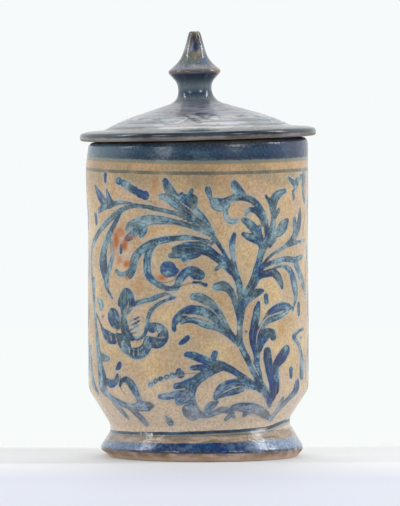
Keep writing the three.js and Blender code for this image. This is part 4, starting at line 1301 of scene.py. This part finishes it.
def jar_clay(g, c, at, tall):
    """Bare clay under the foot, pale where it stands and sooty under the glaze's edge."""
    clay = g.blend(g.ease(g.noise(at, 0.1, 3), 0.35, 0.65), c.clay, c.rose)
    clay = g.shaded(clay, g.noise(at, 0.7, 3, 0.7), 0.3, 0.7, 0.88, 1.08)
    clay = g.blend(g.ease(tall, 2.6, 0.6, 0.0, 0.6), clay, c.shell)
    sooty = g.ease(g.noise(at, 0.15, 3, 0.6), 0.38, 0.62, 0.15, 0.75)
    return g.blend(g.part(g.ease(tall, 2.2, 4.2), sooty), clay, c.soot_and_shadow)


def jar_glaze(colours):
    """The jar's glaze, from the ground up, with its gloss and its pits."""
    g = Glaze("jar_glaze")
    at = g.place()
    across = g.node("SeparateXYZ", "X", Vector=at)
    line, height, _ = g.values("turning")
    skin = jar_brushed(g, colours, at, height, jar_ground(g, colours, at, height))
    stirred = g.swing(g.noise(at, 0.25, 3), 0.9)
    thin = g.ease(g.math("ABSOLUTE", g.total(line, g.part(stirred, 0.5))), 1.3, 0.55)
    thin = g.part(thin, g.ease(g.noise(at, 0.12, 3), 0.3, 0.6, 0.5, 0.9))
    skin = g.blend(thin, skin, g.blend(0.45, colours.fringe, colours.ink))
    level = g.total(line, g.total(stirred, g.swing(g.noise(at, 0.9, 3, 0.6), 1.2)))
    skin = jar_band(g, colours, at, level, across, skin)
    tall = g.total(height, g.part(stirred, 0.8))
    skin = jar_foot(g, colours, at, tall, across, skin)
    bare = g.ease(tall, 5.0, 4.3)
    skin = g.blend(bare, skin, jar_clay(g, colours, at, tall))

    thick_glaze = g.math("MAXIMUM", g.ease(level, 6, 7), g.ease(tall, 18, 15))
    gloss = g.total(g.ease(thick_glaze, 0, 1, 0.26, 0.11), g.ease(level, 6, 7, 0.0, 0.1))
    gloss = g.math("MULTIPLY_ADD", g.noise(at, 0.4, 3), 0.12, g.math("SUBTRACT", gloss, 0.06))
    pits = g.total(g.noise(at, 0.3, 3),
                   g.part(g.noise(at, 1.1, 2, 0.6), g.ease(tall, 18, 14, 0.5, 0.6)),
                   g.part(g.noise(at, 0.14, 2, 0.5), g.ease(tall, 18, 14, 0.0, 3.5)))
    return g.finished(skin, g.math("MAXIMUM", gloss, g.part(bare, 0.8)), pits, 0.4)


def lid_glaze(colours):
    """The lid's glaze: pale lilac over the dome with blue curls, blue pooled in the grooves, a
    brown edge to the knob and a bare clay edge under the brim."""
    g = Glaze("lid_glaze")
    c = colours
    at = g.place()
    height, radius, around = g.values("turning")
    depth, tone, front = g.values("paint")
    side = g.node("SeparateXYZ", "X", Vector=at)

    # Bands by height over the brim's underside, with their edges stirred
    level = g.total(height, g.swing(g.noise(at, 0.3, 3), 1.0))
    # The mist where the brim's top meets the dome is a painted highlight of the white room glancing
    # off the nearly flat brim
    skin = g.ramp(level, [
        (1.9, c.ash), (2.5, c.night), (5.2, c.night), (5.8, c.pewter), (6.3, c.mist),
        (7.0, c.mist), (7.6, c.umber), (8.2, c.lilac), (8.9, c.mist), (9.6, c.lilac),
        (10.2, c.pewter), (11.0, c.lilac), (12.6, c.mist), (13.6, c.lilac), (18.0, c.lilac),
        (21.5, c.pewter), (23.0, c.pewter), (25.4, c.steel), (28.4, c.pewter), (31.0, c.pewter),
        (34.0, c.night), (36.2, c.deep), (36.8, c.soot_and_shadow), (37.4, c.umber), (38.4, c.umber),
        (39.6, c.lilac), (42.5, c.pewter), (47.0, c.fringe), (50.0, c.lilac), (57.0, c.soot_and_shadow),
        (60.3, c.fringe)])

    # Streaks: round the dome and the brim, and down the stem and the knob
    ring = g.node("CombineXYZ", "Vector", X=g.part(side, 0.05), Y=g.part(around, 1.2),
                  Z=g.part(radius, 0.36))
    rings = g.noise(ring, 1.0, 3, 0.65)
    runs = g.noise(at, 0.55, 3, 0.6, squeeze=(1, 1, 0.16))
    upper = g.ease(height, 20, 23)
    skin = g.shaded(skin, rings, 0.36, 0.64, g.ease(upper, 0, 1, 0.42, 0.92),
                    g.ease(upper, 0, 1, 1.2, 1.1))
    knob = g.ease(height, 38.5, 40)
    runny = g.part(upper, g.ease(knob, 0, 1, 0.35, 1.0))
    skin = g.blend(g.part(g.ease(runs, 0.52, 0.66), runny, 0.55), skin, c.deep)
    skin = g.blend(g.part(g.ease(runs, 0.46, 0.34), knob, 0.5), skin,
                   g.blend(0.3, c.mist, c.ochre))
    smear = g.noise(at, 0.3, 3, 0.6, squeeze=(1, 1, 0.35), twist=0.6)
    skin = g.blend(g.part(g.ease(smear, 0.54, 0.64), knob, 0.6), skin,
                   g.blend(0.4, c.deep, c.soot_and_shadow))
    lip = g.between(height, (36.4, 36.8), (40.0, 38.8))
    layers = g.noise(at, 0.3, 3, 0.65, squeeze=(0.5, 0.5, 4), twist=0.4)
    skin = g.blend(g.part(g.ease(layers, 0.46, 0.56), lip, 0.75), skin, c.pewter)
    skin = g.blend(g.part(g.ease(layers, 0.44, 0.36), lip, 0.6), skin, c.soot_and_shadow)
    dome = g.between(height, (7.5, 8.5), (22, 19))
    cloud = g.noise(at, 0.1, 3, 0.6, twist=0.5)
    skin = g.blend(g.part(g.ease(cloud, 0.52, 0.66), dome, 0.4), skin, c.slate)
    skin = g.blend(g.part(g.ease(rings, 0.58, 0.68), dome, 0.4), skin, c.umber)
    # Painted sheen: the dome paled towards its left and right flanks, as the reflection of the
    # white room there
    dome_flank_sheen = g.part(g.ease(g.math("ABSOLUTE", side), 10, 36), dome, 0.5)
    skin = g.blend(dome_flank_sheen, skin, g.blend(0.5, c.mist, c.sheen_blue))

    # Curls on the dome
    edge = g.total(depth, g.swing(g.noise(at, 0.5, 2), 1.0))
    mark = g.blend(g.ease(tone, 0.2, 0.9), c.pewter, c.deep)
    mark = g.blend(g.ease(tone, 1.2, 1.8), mark, g.blend(0.3, c.mist, c.straw))
    skin = g.blend(g.part(g.ease(edge, -0.7, 0.4), 0.85), skin, mark)

    # Spots on the knob, with their edges stirred, and grit all over
    up = g.total(level, g.swing(g.noise(at, 0.9, 3, 0.65), 5.0))
    beside = g.total(side, g.swing(g.noise(at, 0.8, 3, 0.65, twist=0.5), 4.0))
    for place, shade, share in ((DRIP, c.deep, 0.95), (AMBER, c.ochre, 0.45),
                                (DROP, c.violet, 0.7), (CAP, c.ochre, 0.55)):
        spot = g.part(g.spot(beside, up, place), share, g.ease(front, 0.0, 0.3))
        skin = g.blend(spot, skin, shade)
    grit = g.ease(g.noise(at, 0.8, 2), 0.68, 0.74)
    skin = g.blend(g.part(grit, 0.6), skin, c.soot_and_shadow)

    gloss = g.math("MULTIPLY_ADD", g.noise(at, 0.4, 3), 0.2, g.ease(upper, 0, 1, 0.1, 0.06))
    roughness = g.math("MAXIMUM", gloss, g.part(g.ease(level, 2.0, 1.5), 0.8))
    bumps = g.total(g.noise(at, 0.25, 3), g.part(rings, 2.0))
    return g.finished(skin, roughness, bumps, 0.3)


def table_top(stage, shades):
    """A pale matt table. Past its far edge the camera and reflections see white in its place."""
    g = Glaze("table_top")
    g.surface.inputs["Roughness"].default_value = 0.6
    g.surface.inputs["Specular IOR Level"].default_value = 0.1
    back = g.node("SeparateXYZ", "Y", Vector=g.place())
    g.put(g.surface.inputs["Base Color"], g.ramp(back, [
        (-stage.table_near, shades.near), (-stage.table_middle, shades.middle),
        (stage.table_end, shades.far)]))
    past = g.ease(back, stage.table_end - stage.table_edge, stage.table_end + stage.table_edge)
    seen = g.ray("Is Camera Ray", "Is Glossy Ray", "Is Transmission Ray")
    glow = g.node("Emission", "Emission", Color=shades.beyond, Strength=1.0)
    shown = g.mixed(g.part(past, seen), g.surface.outputs["BSDF"], glow)
    g.put(g.output.inputs["Surface"], shown)
    return g.material


def white_surroundings(shades):
    """A white studio. The camera sees plain white, reflections see white behind the jar and a
    dimmer room in front of it, and everything else gets an even soft light."""
    world = bpy.data.worlds.new("surroundings")
    g = Nodes(world)
    white = (1, 1, 1)
    back = g.node("SeparateXYZ", "Y", Vector=g.node("TexCoord", "Generated"))
    room = g.ease(back, *ROOM_TURN, *ROOM_LIGHT)
    even = g.node("Background", "Background", Color=white, Strength=EVEN_LIGHT)
    mirrored = g.node("Background", "Background", Color=white, Strength=room)
    backdrop = g.node("Background", "Background", Color=shades.backdrop, Strength=1.0)
    lit = g.mixed(g.ray("Is Glossy Ray", "Is Transmission Ray"), even, mirrored)
    shown = g.mixed(g.ray("Is Camera Ray"), lit, backdrop)
    g.put(g.tree.nodes.new("ShaderNodeOutputWorld").inputs["Surface"], shown)
    return world


# Operators

class JAR_OT_shell(bpy.types.Operator):
    """Makes the jar's glazed shell with its painting"""
    bl_idname = "jar.shell"
    bl_label = "Jar shell"

    def execute(self, context):
        scene = context.scene
        jar, stage = in_millimetres(scene.jar_sizes), in_millimetres(scene.stage_sizes)
        profile, around, grid = turned_piece(jar_corners(jar), jar_stations(jar), JAR_COLUMNS)
        radius, height = profile[:, 0], profile[:, 1]
        outside = np.arange(len(profile)) < height.argmax()
        weight = np.where(outside & (height > SEEN_ABOVE), 1.0, HIDDEN_SHARE)
        piece = put_mesh("jar_shell", grid, map_heights(profile, weight))

        # The painting, on the outside from the waist up
        girth = 2 * math.pi * jar.belly_radius
        painted = outside & (radius > jar.waist_radius - 3) & (height > jar.waist_height)
        rows = np.nonzero(painted)[0]
        arc = np.tile(around * jar.belly_radius, len(rows))
        wall = np.stack([arc, grid[rows, :, 2].ravel()], axis=1)
        field = brush_field(jar, stage, wall, girth)
        field["stain"] = stain_field(jar, stage, wall, girth)
        whole = filled(field, rows, grid.shape[:2])
        set_values(piece, "paint", whole["depth"], whole["under"], whole["tone"])
        set_values(piece, "brush", whole["ahead"], whole["side"], whole["hair_kind"])
        set_values(piece, "hair", whole["hair_side"], whole["hair_half"], whole["stain"])

        # Level over the thin line under the rim, and height
        level = LINE_HEIGHT + LINE_SIDE_RISE * np.sin(around) ** 2
        inner = np.maximum(LIP_LEVEL - LIP_FALL * (jar.jar_height - height), INSIDE_LEVEL)
        line = np.where(outside[:, None], grid[:, :, 2] - level, inner[:, None])
        set_values(piece, "turning", line, np.where(outside, height, INSIDE_HEIGHT)[:, None])
        piece.data.materials.append(jar_glaze(scene.glaze_colours))
        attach(piece, "jar_body")
        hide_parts("jar")
        return {"FINISHED"}


class JAR_OT_lid(bpy.types.Operator):
    """Makes the lid's glazed shell"""
    bl_idname = "jar.lid"
    bl_label = "Lid shell"

    def execute(self, context):
        scene = context.scene
        jar, lid = in_millimetres(scene.jar_sizes), in_millimetres(scene.lid_sizes)
        profile, around, grid = turned_piece(lid_corners(jar, lid), lid_stations(lid), LID_COLUMNS)
        radius, height = profile[:, 0], profile[:, 1]
        number, widest = np.arange(len(profile)), radius.argmax()
        lean = -math.atan(MOUTH_CLIMB)
        right, up = grid[:, :, 0].copy(), grid[:, :, 2].copy()
        grid[:, :, 0] = right * math.cos(lean) + up * math.sin(lean)
        grid[:, :, 2] = (up * math.cos(lean) - right * math.sin(lean)
                         + jar.jar_height + lid.seat_gap)
        piece = put_mesh("lid_shell", grid, map_heights(profile, np.ones(len(profile))))

        # The marks, on the dome and the brim's top
        girth = 2 * math.pi * lid.dome_bend_radius
        top = (number > widest) & (radius > lid.neck_radius + 1) & (height < lid.stem_height)
        rows = np.nonzero(top)[0]
        arc = np.tile(around * lid.dome_bend_radius, len(rows))
        place = np.stack([arc, np.repeat(radius[rows], LID_COLUMNS)], axis=1)
        upper = profile[widest:]
        upper = upper[upper[:, 1] < lid.stem_height + 1]
        stage = in_millimetres(scene.stage_sizes)
        field = dome_field(jar, lid, stage, upper, place, girth)
        whole = filled(field, rows, grid.shape[:2])
        set_values(piece, "paint", whole["depth"], whole["tone"], np.cos(around)[None])
        tall = np.where(number >= widest - BRIM_ROWS, height, UNDERSIDE_HEIGHT)
        set_values(piece, "turning", tall[:, None], radius[:, None], np.sin(around)[None])
        piece.data.materials.append(lid_glaze(scene.glaze_colours))
        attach(piece, "lid_body")
        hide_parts("lid")
        return {"FINISHED"}


def soft_lamp(name, azimuth, elevation, watts, wide, tall):
    """An area lamp of a width and a height that points at the middle of the jar, from an azimuth to
    the right of the camera and an elevation, both in degrees."""
    data = bpy.data.lights.new(name, "AREA")
    data.shape = "ELLIPSE"
    data.size, data.size_y, data.energy = wide, tall, watts
    side, up = math.radians(azimuth), math.radians(elevation)
    towards = Vector((math.sin(side) * math.cos(up), -math.cos(side) * math.cos(up), math.sin(up)))
    made = bpy.data.objects.new(name, data)
    made.location = Vector(LAMP_AIM) + towards * LAMP_REACH
    made.rotation_euler = towards.to_track_quat("Z", "Y").to_euler()
    bpy.context.scene.collection.objects.link(made)


class JAR_OT_studio(bpy.types.Operator):
    """Makes the table, the lamps, the surroundings and the camera"""
    bl_idname = "jar.studio"
    bl_label = "Studio"

    def execute(self, context):
        scene = context.scene
        stage, shades = scene.stage_sizes, scene.stage_colours
        mesh = bpy.data.meshes.new("table")
        half = TABLE_HALF
        corners = [(-half, -half, 0), (half, -half, 0), (half, half, 0), (-half, half, 0)]
        mesh.from_pydata(corners, [], [(0, 1, 2, 3)])
        mesh.update()
        table = bpy.data.objects.new("table", mesh)
        scene.collection.objects.link(table)
        mesh.materials.append(table_top(in_millimetres(stage), shades))
        scene.world = white_surroundings(shades)
        for name, numbers in LAMPS.items():
            soft_lamp(name, *numbers)

        data = bpy.data.cameras.new("camera")
        data.sensor_fit = "AUTO"
        data.sensor_width = SENSOR
        reach = math.hypot(stage.eye_distance, stage.eye_height - stage.aim_height)
        data.lens = SENSOR * reach / stage.picture_height
        data.clip_end = 100
        eye = bpy.data.objects.new("camera", data)
        eye.location = (0, -stage.eye_distance, stage.eye_height)
        aim = Vector((stage.aim_side, 0, stage.aim_height))
        eye.rotation_euler = (aim - eye.location).to_track_quat("-Z", "Y").to_euler()
        scene.collection.objects.link(eye)
        scene.camera = eye
        scene.view_settings.view_transform = "Standard"
        return {"FINISHED"}


class JAR_PT_pieces(bpy.types.Panel):
    """Lists the jar's pieces and its sizes"""
    bl_label = "Lidded jar"
    bl_space_type = "VIEW_3D"
    bl_region_type = "UI"
    bl_category = "Jar"

    def draw(self, context):
        """Lists the operators, then each group of settings in a box."""
        for operator in OPERATORS:
            self.layout.operator(operator.bl_idname)
        for name, group in GROUPS.items():
            box = self.layout.box()
            box.label(text=group.__doc__)
            for field in group.__annotations__:
                box.prop(getattr(context.scene, name), field)


OPERATORS = (JAR_OT_shell, JAR_OT_lid, JAR_OT_studio)
CLASSES = (*GROUPS.values(), *OPERATORS, JAR_PT_pieces)


def register():
    """Registers the classes and hangs their settings on the scene."""
    for item in CLASSES:
        bpy.utils.register_class(item)
    for name, group in GROUPS.items():
        setattr(bpy.types.Scene, name, PointerProperty(type=group))


def unregister():
    """Takes back what register does."""
    for name in GROUPS:
        delattr(bpy.types.Scene, name)
    for item in reversed(CLASSES):
        bpy.utils.unregister_class(item)


def main():
    """Makes every piece and the studio."""
    register()
    bpy.ops.jar.studio()
    bpy.ops.jar.shell()
    bpy.ops.jar.lid()


if __name__ == "__main__":
    main()
